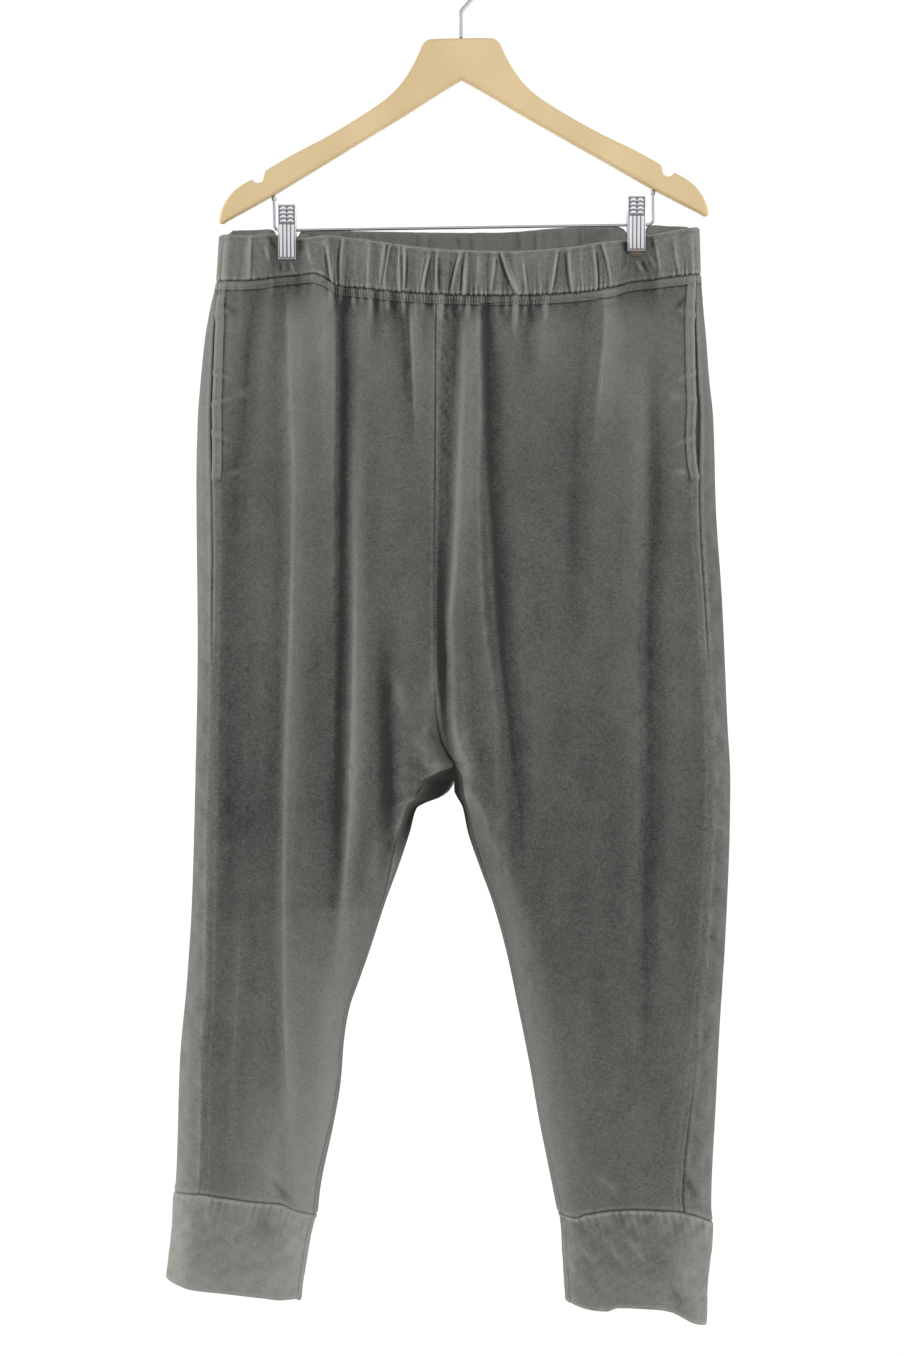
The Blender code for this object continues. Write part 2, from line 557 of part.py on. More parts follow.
def drawn_in(points, normals, edges, distance):
    """Move the points of an open edge into their own piece, square to the edge."""
    inward = {}
    for a, b in edges:
        along = points[b] - points[a]
        length = np.linalg.norm(along)
        for point in (a, b):
            square = np.cross(normals[point], along / length)
            inward.setdefault(point, []).append(square / np.linalg.norm(square))
    moved = points.copy()
    for point, directions in inward.items():
        total = np.sum(directions, axis=0)
        mitre = max(float(total @ directions[0]), MITRE_LIMIT)
        moved[point] = points[point] + total * distance / mitre
    return moved


def triangles(faces):
    """Each face as a fan from its first corner, so that two skins are cut the same way."""
    return [[face[0], face[k], face[k + 1]] for face in faces for k in range(1, len(face) - 1)]


def closed_wall(outer, inner, faces):
    """Points and faces of a solid between two skins that share their faces."""
    count = len(outer)
    solid = triangles(faces)
    solid += [[corner + count for corner in reversed(face)] for face in solid]
    solid += [[b, a, a + count, b + count] for a, b in boundary_edges(faces)]
    return np.concatenate([outer, inner]), solid


def add_solid(name, points, faces, finish, collection):
    """Mesh object from points in millimetres, moved to where the garment hangs."""
    used = sorted({corner for face in faces for corner in face})
    number = {old: new for new, old in enumerate(used)}
    placed = (points[used] + np.array([GARMENT_X, 0.0, 0.0])) * MM
    mesh = bpy.data.meshes.new(name)
    mesh.from_pydata(placed.tolist(), [], [[number[corner] for corner in face] for face in faces])
    mesh.materials.append(finish)
    mesh.shade_smooth()
    made = bpy.data.objects.new(name, mesh)
    collection.objects.link(made)
    return made


def panel_grids():
    """All grids of both halves, matched where they meet, by side."""
    grids = {}
    for side in SIDES:
        front = front_grid(side)
        wrap = wrap_grid(side)
        back = back_grid(side)
        gusset = gusset_grid(side)
        seat = PANEL_ROWS.index(SEAT_Z)
        crotch = PANEL_ROWS.index(CROTCH_Z)
        back[:, 0] = wrap[:, -1]
        back[seat:, -1] = gusset[seat - crotch:, 0]
        grids[side] = {"front": front, "wrap": wrap, "back": back, "gusset": gusset}
    return grids


def panel_flips(side):
    """Which grids run the wrong way round to face out."""
    right = side == "right"
    return {"front": right, "wrap": not right, "back": not right, "gusset": not right}


def level_ends(normals):
    """Turn the directions of a grid's first and last row level, so walls meet the rings flush."""
    for row in (0, -1):
        normals[row, :, 2] = 0.0
        normals[row] /= np.linalg.norm(normals[row], axis=-1, keepdims=True)


def grid_normals(grids):
    """Outward directions for every grid, shared across the seams."""
    order = [(side, name) for side in SIDES for name in grids[side]]
    flips = [panel_flips(side)[name] for side, name in order]
    points, faces = join_grids([grids[side][name] for side, name in order], flips)
    normals = point_normals(points, faces)
    result = {side: {} for side in SIDES}
    start = 0
    for side, name in order:
        shape = grids[side][name].shape
        size = shape[0] * shape[1]
        result[side][name] = normals[start:start + size].reshape(shape)
        level_ends(result[side][name])
        start += size
    return result


def panel_solid(name, grids, normals, names, flips, finish, collection):
    """A panel from its grids: the outer skin drawn in at its seams, the inner one a cloth inside."""
    points, faces = join_grids([grids[key] for key in names], [flips[key] for key in names])
    directions = np.concatenate([normals[key].reshape(-1, 3) for key in names])
    faces = tidy_faces(faces, weld(points))
    outer = drawn_in(points, directions, boundary_edges(faces), 0.5 * SEAM_GAP)
    solid_points, solid_faces = closed_wall(outer, outer - CLOTH * directions, faces)
    return add_solid(name, solid_points, solid_faces, finish, collection)


def pocket_facing(side, grids, normals, finish, collection):
    """Strip behind the pocket opening, made from the panels' points moved in.

    Its second column runs midway between the two edges of the opening, a little deeper.
    """
    rows = slice(PANEL_ROWS.index(POCKET_ROWS[0]), PANEL_ROWS.index(POCKET_ROWS[1]) + 1)

    def columns(source):
        middle = 0.5 * (source["wrap"][rows, :1] + source["front"][rows, :1])
        return np.concatenate([source["wrap"][rows, 1:2], middle, source["front"][rows, 1:3]], axis=1)

    skin = columns(grids)
    inward = columns(normals)
    inward /= np.linalg.norm(inward, axis=-1, keepdims=True)
    extra = np.array([0.0, FACING_DIP, 0.0, 0.0])[None, :, None]
    outer = skin - (CLOTH + FACING_GAP + extra) * inward
    inner = outer - FACING_CLOTH * inward
    faces = quads(*skin.shape[:2], flip=side == "right").tolist()
    points, solid = closed_wall(outer.reshape(-1, 3), inner.reshape(-1, 3), faces)
    return add_solid("pocket_facing_" + side, points, solid, finish, collection)


def ring_faces(rows, columns, flip):
    """Faces of a grid whose last column meets its first."""
    number = np.arange(rows * columns).reshape(rows, columns)
    ahead = np.roll(number, -1, axis=1)
    corners = [number[:-1], ahead[:-1], ahead[1:], number[1:]]
    if flip:
        corners.reverse()
    return np.stack([corner.ravel() for corner in corners], axis=1).tolist()


def ring_normals(grid):
    """Level outward directions of a ring that runs anticlockwise seen from above."""
    along = np.roll(grid, -1, axis=1) - np.roll(grid, 1, axis=1)
    normal = np.stack([along[..., 1], -along[..., 0], np.zeros(along.shape[:2])], axis=-1)
    return normal / np.linalg.norm(normal, axis=-1, keepdims=True)


def gather_columns(gathers):
    """x at seam and rim, and height, of the crest and the two feet of every gather."""
    seam = np.array([gather.seam_x for gather in gathers])
    rim = np.array([gather.rim_x for gather in gathers])
    height = np.array([gather.height for gather in gathers])
    columns = []
    for line in (seam, rim):
        room = np.diff(line)
        before = np.concatenate([[EDGE_FOOT / GATHER_FOOT], room]) * GATHER_FOOT
        after = np.concatenate([room, [EDGE_FOOT / GATHER_FOOT]]) * GATHER_FOOT
        columns.append(np.stack([line - before, line, line + after], axis=1).ravel())
    heights = np.stack([-GATHER_SINK * height, height, -GATHER_SINK * height], axis=1).ravel()
    return columns[0], columns[1], heights


def back_gathers():
    """Gathers of the waistband's back, unevenly set and leaning by a rule."""
    def swayed(sway, k):
        return sway.size * math.sin(sway.turn * k)

    made = []
    for k in range(BACK_GATHERS):
        x = BACK_GATHER_PITCH * (k - 0.5 * (BACK_GATHERS - 1)) + swayed(BACK_GATHER_SHIFT, k)
        height = BACK_GATHER_HEIGHT + swayed(BACK_GATHER_CHANGE, k)
        made.append(Gather(x + swayed(BACK_GATHER_LEAN, k), x, height))
    return made


def waist_line(grids, face):
    """The panels' top edge on one face: x and height of its points, in order of x."""
    names = ("wrap", "front") if face == "front" else ("back",)
    points = np.concatenate([grids[side][name][0] for side in SIDES for name in names])
    points = points[np.argsort(points[:, 0])]
    return points[:, 0], points[:, 2]


def waistband_solid(grids, finish, collection):
    """Ring with gathers in both walls, pinched flat at the clips."""
    up = np.array([row.up for row in BAND_ROWS])[:, None]
    strength = np.array([row.strength for row in BAND_ROWS])[:, None]
    steps = np.array(EDGE_STEPS)
    parts = []
    for face, gathers in (("front", FRONT_GATHERS), ("back", back_gathers())):
        seam_x, rim_x, height = gather_columns(gathers)
        rim_line = RIM_FRONT if face == "front" else RIM_BACK
        line_x, line_z = waist_line(grids, face)
        across = seam_x + (rim_x - seam_x) * up
        seam_z = np.interp(across, line_x, line_z) + WAIST_GAP
        z = seam_z + (value(rim_line, across) - seam_z) * up
        ends = {}
        for side in SIDES:
            edge_seam_z = np.interp(SIGN[side] * BEYOND_X, line_x, line_z) + WAIST_GAP
            edge_rim_z = value(rim_line, SIGN[side] * BEYOND_X)
            edge_z = edge_seam_z + (edge_rim_z - edge_seam_z) * up
            edge_x = value(OUTER[side], edge_z)
            ends[side] = (edge_x, edge_x - SIGN[side] * steps, edge_z + 0.0 * steps)
        x = np.concatenate([ends["right"][1], across, ends["left"][1][:, ::-1]], axis=1)
        z = np.concatenate([ends["right"][2], z, ends["left"][2][:, ::-1]], axis=1)
        still = np.zeros(len(steps))
        lift = np.concatenate([still, height, still]) * strength * (1.0 - pinch(x, z))
        edge = np.minimum(np.abs(x - ends["right"][0]), np.abs(x - ends["left"][0]))
        y = depth(x, z, edge, face)
        if face == "front":
            parts.append((grid_points(x, -y, z), lift))
        else:
            parts.append((grid_points(x, y, z)[:, BACK_TO_FRONT], lift[:, BACK_TO_FRONT]))
    base = np.concatenate([part[0] for part in parts], axis=1)
    lift = np.concatenate([part[1] for part in parts], axis=1)
    normals = ring_normals(base)
    outer = base + lift[..., None] * normals
    inner = base + (lift[..., None] - BAND_CLOTH) * normals
    faces = ring_faces(*base.shape[:2], flip=False)
    points, solid = closed_wall(outer.reshape(-1, 3), inner.reshape(-1, 3), faces)
    return add_solid("waistband", points, solid, finish, collection)


def cuff_solid(side, grids, finish, collection):
    """Tube that takes up the leg's lowest ring of points and carries it down to the hem."""
    ring = np.concatenate([grids["front"][-1], grids["gusset"][-1][-2::-1],
                           grids["back"][-1][-2::-1], grids["wrap"][-1][BACK_TO_FRONT]])
    top_z = ring[:, 2] - SEAM_GAP
    top_outer = ring[np.argmax(SIGN[side] * ring[:, 0]), 0]
    top_inner = ring[np.argmin(SIGN[side] * ring[:, 0]), 0]
    share = (ring[:, 0] - top_outer) / (top_inner - top_outer)
    in_front = ring[:, 1] < 0.0
    rows = []
    for down in CUFF_ROWS:
        x = ring[:, 0]
        z = top_z
        for _ in range(CUFF_PASSES):
            hem = np.where(in_front, value(HEM_FRONT[side], x), value(HEM_BACK[side], x))
            z = top_z + (hem - top_z) * down
            outer_x = value(OUTER[side], z)
            inner_x = column(INNER[side], "x", z)
            if down > 0.0:
                x = outer_x + (inner_x - outer_x) * share
        y = ring[:, 1] * column(DEPTHS, "edge", z) / column(DEPTHS, "edge", top_z)
        rows.append(grid_points(x, y, z))
    outer = np.stack(rows)
    turns = side == "left"
    normals = ring_normals(outer) * (-1.0 if turns else 1.0)
    inner = outer - CUFF_CLOTH * normals
    faces = ring_faces(*outer.shape[:2], flip=not turns)
    points, solid = closed_wall(outer.reshape(-1, 3), inner.reshape(-1, 3), faces)
    return add_solid("cuff_" + side, points, solid, finish, collection)


# ---- hanger -------------------------------------------------------------------------------------
# One wooden arm, neck to tip and back along its underside: x from the joint, height from the neck.
ARM_OUTLINE = ((0.15, 0.0), (30.5, -0.5), (34.5, -3.5), (38.5, -14.1), (45.5, -26.8), (54.0, -39.0),
               (64.5, -50.2), (79.0, -60.9), (98.8, -73.4), (122.0, -86.8), (155.0, -103.5),
               (179.0, -116.7), (181.0, -122.3), (185.5, -126.4), (190.5, -124.8), (200.0, -128.9),
               (209.5, -136.5), (216.8, -147.1), (221.0, -158.8), (221.4, -165.4), (213.0, -161.3),
               (171.5, -138.9), (121.5, -109.6), (55.0, -70.5), (0.15, -37.2))
ARM_EDGE = 1.6              # rounding of the arms' long edges
BAR_REACH = 171.3           # the bar's upright ends stand this far from the joint
BAR_DROP = -170.6           # the bar lies this far below the neck
BAR_END = -140.1            # its ends reach up to this
BAR_BEND = 5.0
BEND_STEPS = 5
Clip = namedtuple("Clip", "name x bar_z plate_foot pad_foot")
CLIPS = table(Clip, ("clip_right", -157.0, -251.1, -27.1, -25.2), ("clip_left", 158.4, -246.1, -24.4, -29.2))
PLATE_SIZE = (16.3, 1.0, 49.0)
PLATE_TILT = 7.0            # degrees
PAD_SIZE = (12.5, 1.2, 15.0)
EAR_THICK = 0.8             # the ears that carry a jaw on the bar
EAR_HEIGHT = 6.0
EAR_BEYOND = 3.0            # an ear reaches this far past the bar's middle
EAR_X = {"front": 7.0, "back": 5.8}     # the back jaw's ears lie inside the front jaw's
EAR_HOLE_RADIUS = 1.7
EAR_HOLE_SIDES = 16
SLEEVE_RADIUS = 4.4
SLEEVE_LENGTH = 10.0
SLEEVE_SIDES = 12
WELD_DISTANCE = 0.01
STEM_BEND_Z = -50.8
STEM_BEND = ((0.0, -2.5), (0.8, 0.0), (2.6, 2.6))   # its points: x, and height from its middle
HOOK_START_ANGLE = -45.0
HOOK_END_ANGLE = 205.0
HOOK_STEPS = 20


def curve_object(name, points, cyclic, finish, collection, radius=0.0, half_thick=0.0):
    """Wire along the points, or a flat outline with thickness; points in millimetres."""
    data = bpy.data.curves.new(name, "CURVE")
    data.dimensions = "3D" if radius else "2D"
    spline = data.splines.new("POLY")
    spline.points.add(len(points) - 1)
    for target, point in zip(spline.points, points):
        x, y, z = [part * MM for part in point]
        target.co = (x, y, z, 1.0)
    spline.use_cyclic_u = cyclic
    if radius:
        data.bevel_depth = radius * MM
        data.bevel_resolution = 2
        data.use_fill_caps = True
    else:
        data.fill_mode = "BOTH"
        data.extrude = (half_thick - ARM_EDGE) * MM
        data.bevel_depth = ARM_EDGE * MM
        data.bevel_resolution = 1
        data.offset = -ARM_EDGE * MM
    data.materials.append(finish)
    made = bpy.data.objects.new(name, data)
    collection.objects.link(made)
    return made


def arc(centre, radius, start, end, steps):
    """Points of an arc in the XZ plane, angles in degrees from +X towards +Z."""
    made = []
    for k in range(steps + 1):
        angle = math.radians(start + (end - start) * k / steps)
        made.append((centre[0] + radius * math.cos(angle), 0.0, centre[1] + radius * math.sin(angle)))
    return made


def hanger_arms(finish, collection):
    """Two mitred wooden halves, a seam gap apart at the joint."""
    for side in SIDES:
        outline = [(SIGN[side] * x, z, 0.0) for x, z in ARM_OUTLINE]
        arm = curve_object("hanger_arm_" + side, outline, True, finish, collection,
                           half_thick=0.5 * HANGER_THICK)
        arm.location = (0.0, 0.0, NECK_TOP_Z * MM)
        arm.rotation_euler = (0.5 * math.pi, -math.radians(HANGER_TILT), 0.0)


def hook(finish, collection):
    """Wire up from the neck, out at 45 degrees and over the rail."""
    radius = HOOK_INNER_RADIUS + 0.5 * HOOK_WIRE
    path = [(0.0, 0.0, NECK_TOP_Z + SEAM_GAP)]
    path += [(x, 0.0, STEM_BEND_Z + height) for x, height in STEM_BEND]
    path += arc((0.0, -HOOK_INNER_RADIUS), radius, HOOK_START_ANGLE, HOOK_END_ANGLE, HOOK_STEPS)
    return curve_object("hook", path, False, finish, collection, radius=0.5 * HOOK_WIRE)


def trouser_bar(finish, collection):
    """Wire from under one arm, across, and up under the other."""
    foot = BAR_DROP + BAR_BEND
    path = [(-BAR_REACH, 0.0, BAR_END)]
    path += arc((-BAR_REACH + BAR_BEND, foot), BAR_BEND, 180.0, 270.0, BEND_STEPS)
    path += arc((BAR_REACH - BAR_BEND, foot), BAR_BEND, 270.0, 360.0, BEND_STEPS)
    path += [(BAR_REACH, 0.0, BAR_END)]
    bar = curve_object("trouser_bar", path, False, finish, collection, radius=0.5 * BAR_WIRE)
    bar.location = (0.0, 0.0, NECK_TOP_Z * MM)
    bar.rotation_euler = (0.0, -math.radians(HANGER_TILT), 0.0)


def box(name, size, middle, tilt, finish, collection):
    """Box of a size in millimetres, tilted about X."""
    bpy.ops.mesh.primitive_cube_add(size=1.0)
    made = bpy.context.object
    made.name = name
    made.data.name = name
    made.data.transform(scale_matrix(size))
    made.location = [part * MM for part in middle]
    made.rotation_euler = (math.radians(tilt), 0.0, 0.0)
    made.data.materials.append(finish)
    move_to(made, collection)
    return made


def move_to(made, collection):
    """Take an object out of its collections and put it into another."""
    for holder in list(made.users_collection):
        holder.objects.unlink(made)
    collection.objects.link(made)


def scale_matrix(size):
    """Scaling matrix from millimetres."""
    scale = np.diag([*(part * MM for part in size), 1.0])
    return [list(row) for row in scale]


def sleeve(name, clip, finish, collection):
    """Tube round the bar, turned by a Screw modifier from its section."""
    half = 0.5 * SLEEVE_LENGTH * MM
    inner = (0.5 * BAR_WIRE + SEAM_GAP) * MM
    outer = SLEEVE_RADIUS * MM
    section = [(outer, 0.0, half), (outer, 0.0, -half), (inner, 0.0, -half), (inner, 0.0, half)]
    mesh = bpy.data.meshes.new(name)
    mesh.from_pydata(section, [(0, 1), (1, 2), (2, 3), (3, 0)], [])
    mesh.materials.append(finish)
    made = bpy.data.objects.new(name, mesh)
    collection.objects.link(made)
    turn = made.modifiers.new("turn", "SCREW")
    turn.steps = SLEEVE_SIDES
    turn.render_steps = SLEEVE_SIDES
    turn.use_merge_vertices = True
    turn.merge_threshold = WELD_DISTANCE * MM
    made.location = (clip.x * MM, 0.0, clip.bar_z * MM)
    made.rotation_euler = (0.0, 0.5 * math.pi, 0.0)


def cut_or_join(target, tool, operation):
    """Boolean modifier on the target, with the tool kept out of the render."""
    tool.hide_render = True
    tool.display_type = "WIRE"
    change = target.modifiers.new(tool.name, "BOOLEAN")
    change.operation = operation
    change.object = tool


def jaw(clip, face, middle, finish, collection, cutters):
    """Plate leaning outwards, with an ear at each side that is holed for the bar."""
    name = f"{clip.name}_{face}_plate"
    sign = -1.0 if face == "front" else 1.0
    tilt = -sign * PLATE_TILT
    plate = box(name, PLATE_SIZE, middle, tilt, finish, collection)
    angle = math.radians(tilt)
    outward = (sign * math.cos(angle), sign * math.sin(angle))
    away = (middle[1] * outward[0]) + (middle[2] - clip.bar_z) * outward[1]
    reach = 0.5 * (away - EAR_BEYOND)
    for side in (-1.0, 1.0):
        ear_middle = (clip.x + side * EAR_X[face], reach * outward[0], clip.bar_z + reach * outward[1])
        ear_size = (EAR_THICK, away + EAR_BEYOND, EAR_HEIGHT)
        ear = box(f"{name}_ear_{int(side)}", ear_size, ear_middle, tilt, finish, cutters)
        cut_or_join(plate, ear, "UNION")
    bpy.ops.mesh.primitive_cylinder_add(
        vertices=EAR_HOLE_SIDES, radius=EAR_HOLE_RADIUS * MM, depth=2.0 * PLATE_SIZE[0] * MM,
        location=(clip.x * MM, 0.0, clip.bar_z * MM),
        rotation=(0.0, 0.5 * math.pi - math.radians(HANGER_TILT), 0.0))
    hole = bpy.context.object
    hole.name = name + "_hole"
    move_to(hole, cutters)
    cut_or_join(plate, hole, "DIFFERENCE")


def clips(metal, rubber, collection, cutters):
    """Two jaws, two pads and a sleeve on the bar, for each clip."""
    _, thick, height = PLATE_SIZE
    tilt = math.radians(PLATE_TILT)
    pad_y = PINCH_DEPTH + SEAM_GAP + 0.5 * PAD_SIZE[1]
    plate_inner_y = pad_y + 0.5 * PAD_SIZE[1] + SEAM_GAP
    plate_y = plate_inner_y + 0.5 * (height * math.sin(tilt) + thick * math.cos(tilt))
    for clip in CLIPS:
        plate_z = clip.bar_z + clip.plate_foot + 0.5 * (height * math.cos(tilt) + thick * math.sin(tilt))
        pad_z = clip.bar_z + clip.pad_foot + 0.5 * PAD_SIZE[2]
        for face, sign in (("front", -1.0), ("back", 1.0)):
            jaw(clip, face, (clip.x, sign * plate_y, plate_z), metal, collection, cutters)
            box(f"{clip.name}_{face}_pad", PAD_SIZE, (clip.x, sign * pad_y, pad_z), 0.0, rubber,
                collection)
        sleeve(clip.name + "_sleeve", clip, metal, collection)


def main():
    """Clear the scene, then build the garment and what it hangs from."""
    for old in list(bpy.data.objects):
        bpy.data.objects.remove(old, do_unlink=True)
    collection = bpy.data.collections.new("sweatpants_on_clip_hanger")
    cutters = bpy.data.collections.new("cutters")
    for made in (collection, cutters):
        bpy.context.scene.collection.children.link(made)
    cloth = material("jersey", (0.105, 0.108, 0.098), 0.92)
    wood = material("pale wood", (0.70, 0.53, 0.31), 0.45)
    metal = material("chromed steel", (0.62, 0.62, 0.64), 0.22, 1.0)
    rubber = material("clip pad", (0.25, 0.16, 0.10), 0.7)

    grids = panel_grids()
    normals = grid_normals(grids)
    for side in SIDES:
        flips = panel_flips(side)
        panel_solid("front_panel_" + side, grids[side], normals[side], ["front"], flips, cloth,
                    collection)
        panel_solid("back_panel_" + side, grids[side], normals[side], ["wrap", "back", "gusset"],
                    flips, cloth, collection)
        pocket_facing(side, grids[side], normals[side], cloth, collection)
        cuff_solid(side, grids[side], cloth, collection)
    waistband_solid(grids, cloth, collection)
    hanger_arms(wood, collection)
    hook(metal, collection)
    trouser_bar(metal, collection)
    clips(metal, rubber, collection, cutters)


main()
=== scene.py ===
"""Looks of the drop-crotch jersey sweatpants and of the wooden clip hanger that holds them.

The frame is the CAD's: metres, +Z up, the garment's front faces -Y, and the origin is the hook's
inner top. Tables and sizes here are in millimetres; MM turns them into metres. Every cloth piece
is a thin wall over a grid of points whose depth is worked out from the same folds as the solids,
with finer creases, seams and gathers on top. Right and left are the wearer's.
"""
import math
from collections import namedtuple

import bpy
import numpy as np
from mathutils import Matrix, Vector


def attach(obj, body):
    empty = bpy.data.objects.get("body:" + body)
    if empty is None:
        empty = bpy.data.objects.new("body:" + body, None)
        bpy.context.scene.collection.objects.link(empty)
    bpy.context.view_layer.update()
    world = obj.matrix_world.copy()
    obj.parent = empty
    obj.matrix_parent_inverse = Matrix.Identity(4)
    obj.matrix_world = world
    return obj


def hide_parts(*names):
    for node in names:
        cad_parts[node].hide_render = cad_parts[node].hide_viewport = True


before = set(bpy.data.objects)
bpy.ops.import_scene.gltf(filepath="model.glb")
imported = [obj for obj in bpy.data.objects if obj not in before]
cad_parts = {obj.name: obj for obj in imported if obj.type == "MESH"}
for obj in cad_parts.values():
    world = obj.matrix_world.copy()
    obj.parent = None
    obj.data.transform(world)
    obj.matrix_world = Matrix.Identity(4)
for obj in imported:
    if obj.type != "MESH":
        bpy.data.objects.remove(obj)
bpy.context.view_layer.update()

MM = 0.001

# ---- driving dimensions, millimetres ----
CLOTH = 1.6  # wall of the jersey panels
BAND_CLOTH = 3.2  # wall of the waistband
CUFF_CLOTH = 2.4  # wall of the double cuffs
FACING_CLOTH = 1.0
WAIST_GAP = 0.3  # between the panels' top edge and the waistband
FACING_GAP = 0.4
FACING_DIP = 0.6
SEAM_STRIP = 7.6  # topstitched strip under the waist seam and along the pockets
SEAM_STEP = 1.2
SEAM_RISE = 0.8  # how far the strip stands proud
STRIP_ROUND = 12.0
BAND_HEIGHT = 41.0
BAND_FOLD_FADE = 0.7
GARMENT_X = -1.5  # the garment hangs this far off the hook's line
WAIST_SEAM_Z = -300.0
CROTCH_Z = -735.0
SEAT_Z = -750.0
CUFF_ROW_Z = -1128.0  # nominal height of the cuffs' seams
INSEAM_FADE_Z = -790.0  # below this the inseam turns out of sight and lies flatter
CENTRE_FADE_Z = -460.0  # below this the centre-front seam lies flatter
HOLLOW_FOOT_Z = -830.0  # the cloth under the crotch is hollow down to here
WAIST_FADE_Z = -420.0
CUFF_FADE = 85.0
CLIP_X = (-155.5, 159.9)  # middles of the two clips on the garment
CLIP_FLAT = 8.0
PINCH_DEPTH = 4.3
HANGER_THICK = 12.0
HANGER_TILT = 0.9  # degrees
NECK_TOP_Z = -78.0
BAR_WIRE = 2.6

Height = namedtuple("Height", "z value")
Depth = namedtuple("Depth", "z edge front_swell back_swell round_x")
Inner = namedtuple("Inner", "z x y inset")
Fold = namedtuple("Fold", "name z x height low_side high_side")
Gather = namedtuple("Gather", "rim_x seam_x height")


def table(kind, *rows):
    """Each row of numbers as a named tuple of the given kind."""
    return [kind(*row) for row in rows]


# Outer edge of each half, waist rim to cuff hem: height and x.
OUTER = {
    "right": table(Height, (-250, -217.2), (-298, -220.2), (-323, -225.6), (-350, -230.1), (-387, -233.8),
        (-423, -236.5), (-480, -237.8), (-620, -236.6), (-749, -238.7), (-857, -241.9), (-930, -246.4),
        (-1002, -252.8), (-1110, -256.4), (-1124, -259.2), (-1147, -260), (-1183, -263.6), (-1200, -265.6)),
    "left": table(Height, (-245, 217.4), (-292, 218.6), (-320, 220.5), (-350, 223.3), (-387, 226),
        (-423, 229.6), (-500, 232), (-586, 237.7), (-694, 242.3), (-749, 245), (-794, 244.5), (-893, 240.5),
        (-966, 235.9), (-1038, 232.3), (-1134, 228), (-1148, 229.4), (-1206, 225.1), (-1240, 223.7)),
}

# Side seam: how far it lies in front of the outer edge.
SIDE_SEAM = {
    "right": table(Height, (-298, 2.5), (-323, 5), (-350, 8), (-387, 11), (-440, 14), (-490, 16.5),
        (-540, 16.8), (-586, 15.8), (-640, 14.9), (-770, 15), (-870, 17), (-944, 20.5), (-1041, 23.6),
        (-1125, 24.5)),
    "left": table(Height, (-292, 4.5), (-320, 7), (-350, 9.5), (-400, 12), (-440, 14.5), (-495, 17.2),
        (-560, 18.6), (-640, 17.6), (-690, 16.6), (-770, 18.3), (-860, 19.1), (-948, 20.3), (-998, 22.2),
        (-1083, 27.2), (-1140, 28)),
}
# How strongly the side seam shows below the pocket, and the painted light and shade on the cloth
# behind it: paler on the right, darker on the left.
SIDE_LINE = {
    "right": table(Height, (-478, 1), (-600, 1), (-650, 0.15), (-1000, 0.1), (-1080, 0.2), (-1128, 0.45)),
    "left": table(Height, (-478, 1), (-610, 1), (-660, 0.15), (-960, 0.1), (-1020, 0.5), (-1128, 1)),
}
SIDE_LIGHT_AND_SHADE = {
    "right": table(Height, (-300, 0.02), (-400, 0.08), (-480, 0.13), (-850, 0.13), (-1000, 0.15),
        (-1128, 0.17)),
    "left": table(Height, (-300, -0.12), (-480, -0.18), (-620, -0.16), (-720, -0.06), (-860, -0.06),
        (-1128, -0.12)),
}

# Pocket opening: how far the front panel's edge stands back from the side seam.
POCKET_SLIT = {
    "right": table(Height, (-314, 0), (-345, 2.3), (-440, 2.3), (-466, 1.4), (-478, 0)),
    "left": table(Height, (-308, 0), (-340, 2), (-400, 3.5), (-440, 5), (-463, 3), (-478, 0)),
}
POCKET_ROWS = (-325, -475)  # heights between which a facing lies behind the opening
POCKET_FOOT_Z = -480.0
POCKET_SEWN = (-318, -478)  # heights between which the pocket and the centre seams are topstitched
CENTRE_SEWN = (-310, CROTCH_Z)

# Centre-front seam down to the crotch point.
CENTRE_FRONT = table(Height, (-300, -20), (-350, -21.1), (-495, -22), (-640, -22.9), (-681, -21.5),
    (-708, -17.5), (-723, -11.1), (-735, -4), (-750, -4.8))
# Centre-back seam.
CENTRE_BACK = table(Height, (-290, -1), (-600, -2), (-750, -4.8))

# Inner fold of each leg below the crotch: height, x, y, and how far the inseam lies in from it.
INNER = {
    "right": table(Inner, (-735, -4, -10, 0), (-743, -4.4, -2, 20), (-750, -4.8, 6, 27), (-758, -9, 8, 27),
        (-764, -17, 8, 22), (-769, -30, 8, 14), (-774, -38.5, 8, 8), (-795, -44.5, 6, 10),
        (-825, -54.5, 3, 7), (-857, -66.3, 1, 3), (-905, -82, 0, 3), (-930, -90.8, 0, 3),
        (-955, -99.5, 0, 3), (-984, -104.3, 0, 3), (-1020, -107.1, 0, 3), (-1055, -113, 0, 3),
        (-1110, -126.1, 0, 3), (-1141, -129.3, 0, 3), (-1165, -135.1, 0, 3), (-1218, -142.4, 0, 3)),
    "left": table(Inner, (-735, -4, -10, 0), (-743, -4.4, -2, 5), (-750, -4.8, 6, 7), (-758, -4.6, 8, 8),
        (-764, -2, 8, 6.5), (-769, 1, 8, 5), (-774, 3.2, 8, 4), (-795, 7.6, 5, 4), (-825, 17.8, 2, 3),
        (-857, 29.6, 1, 3), (-905, 43, 0, 3), (-955, 53.5, 0, 3), (-1005, 63.5, 0, 3), (-1055, 72.2, 0, 3),
        (-1110, 84.8, 0, 3), (-1140, 90.4, 0, 3), (-1174, 92.9, 0, 3), (-1218, 95.7, 0, 3)),
}

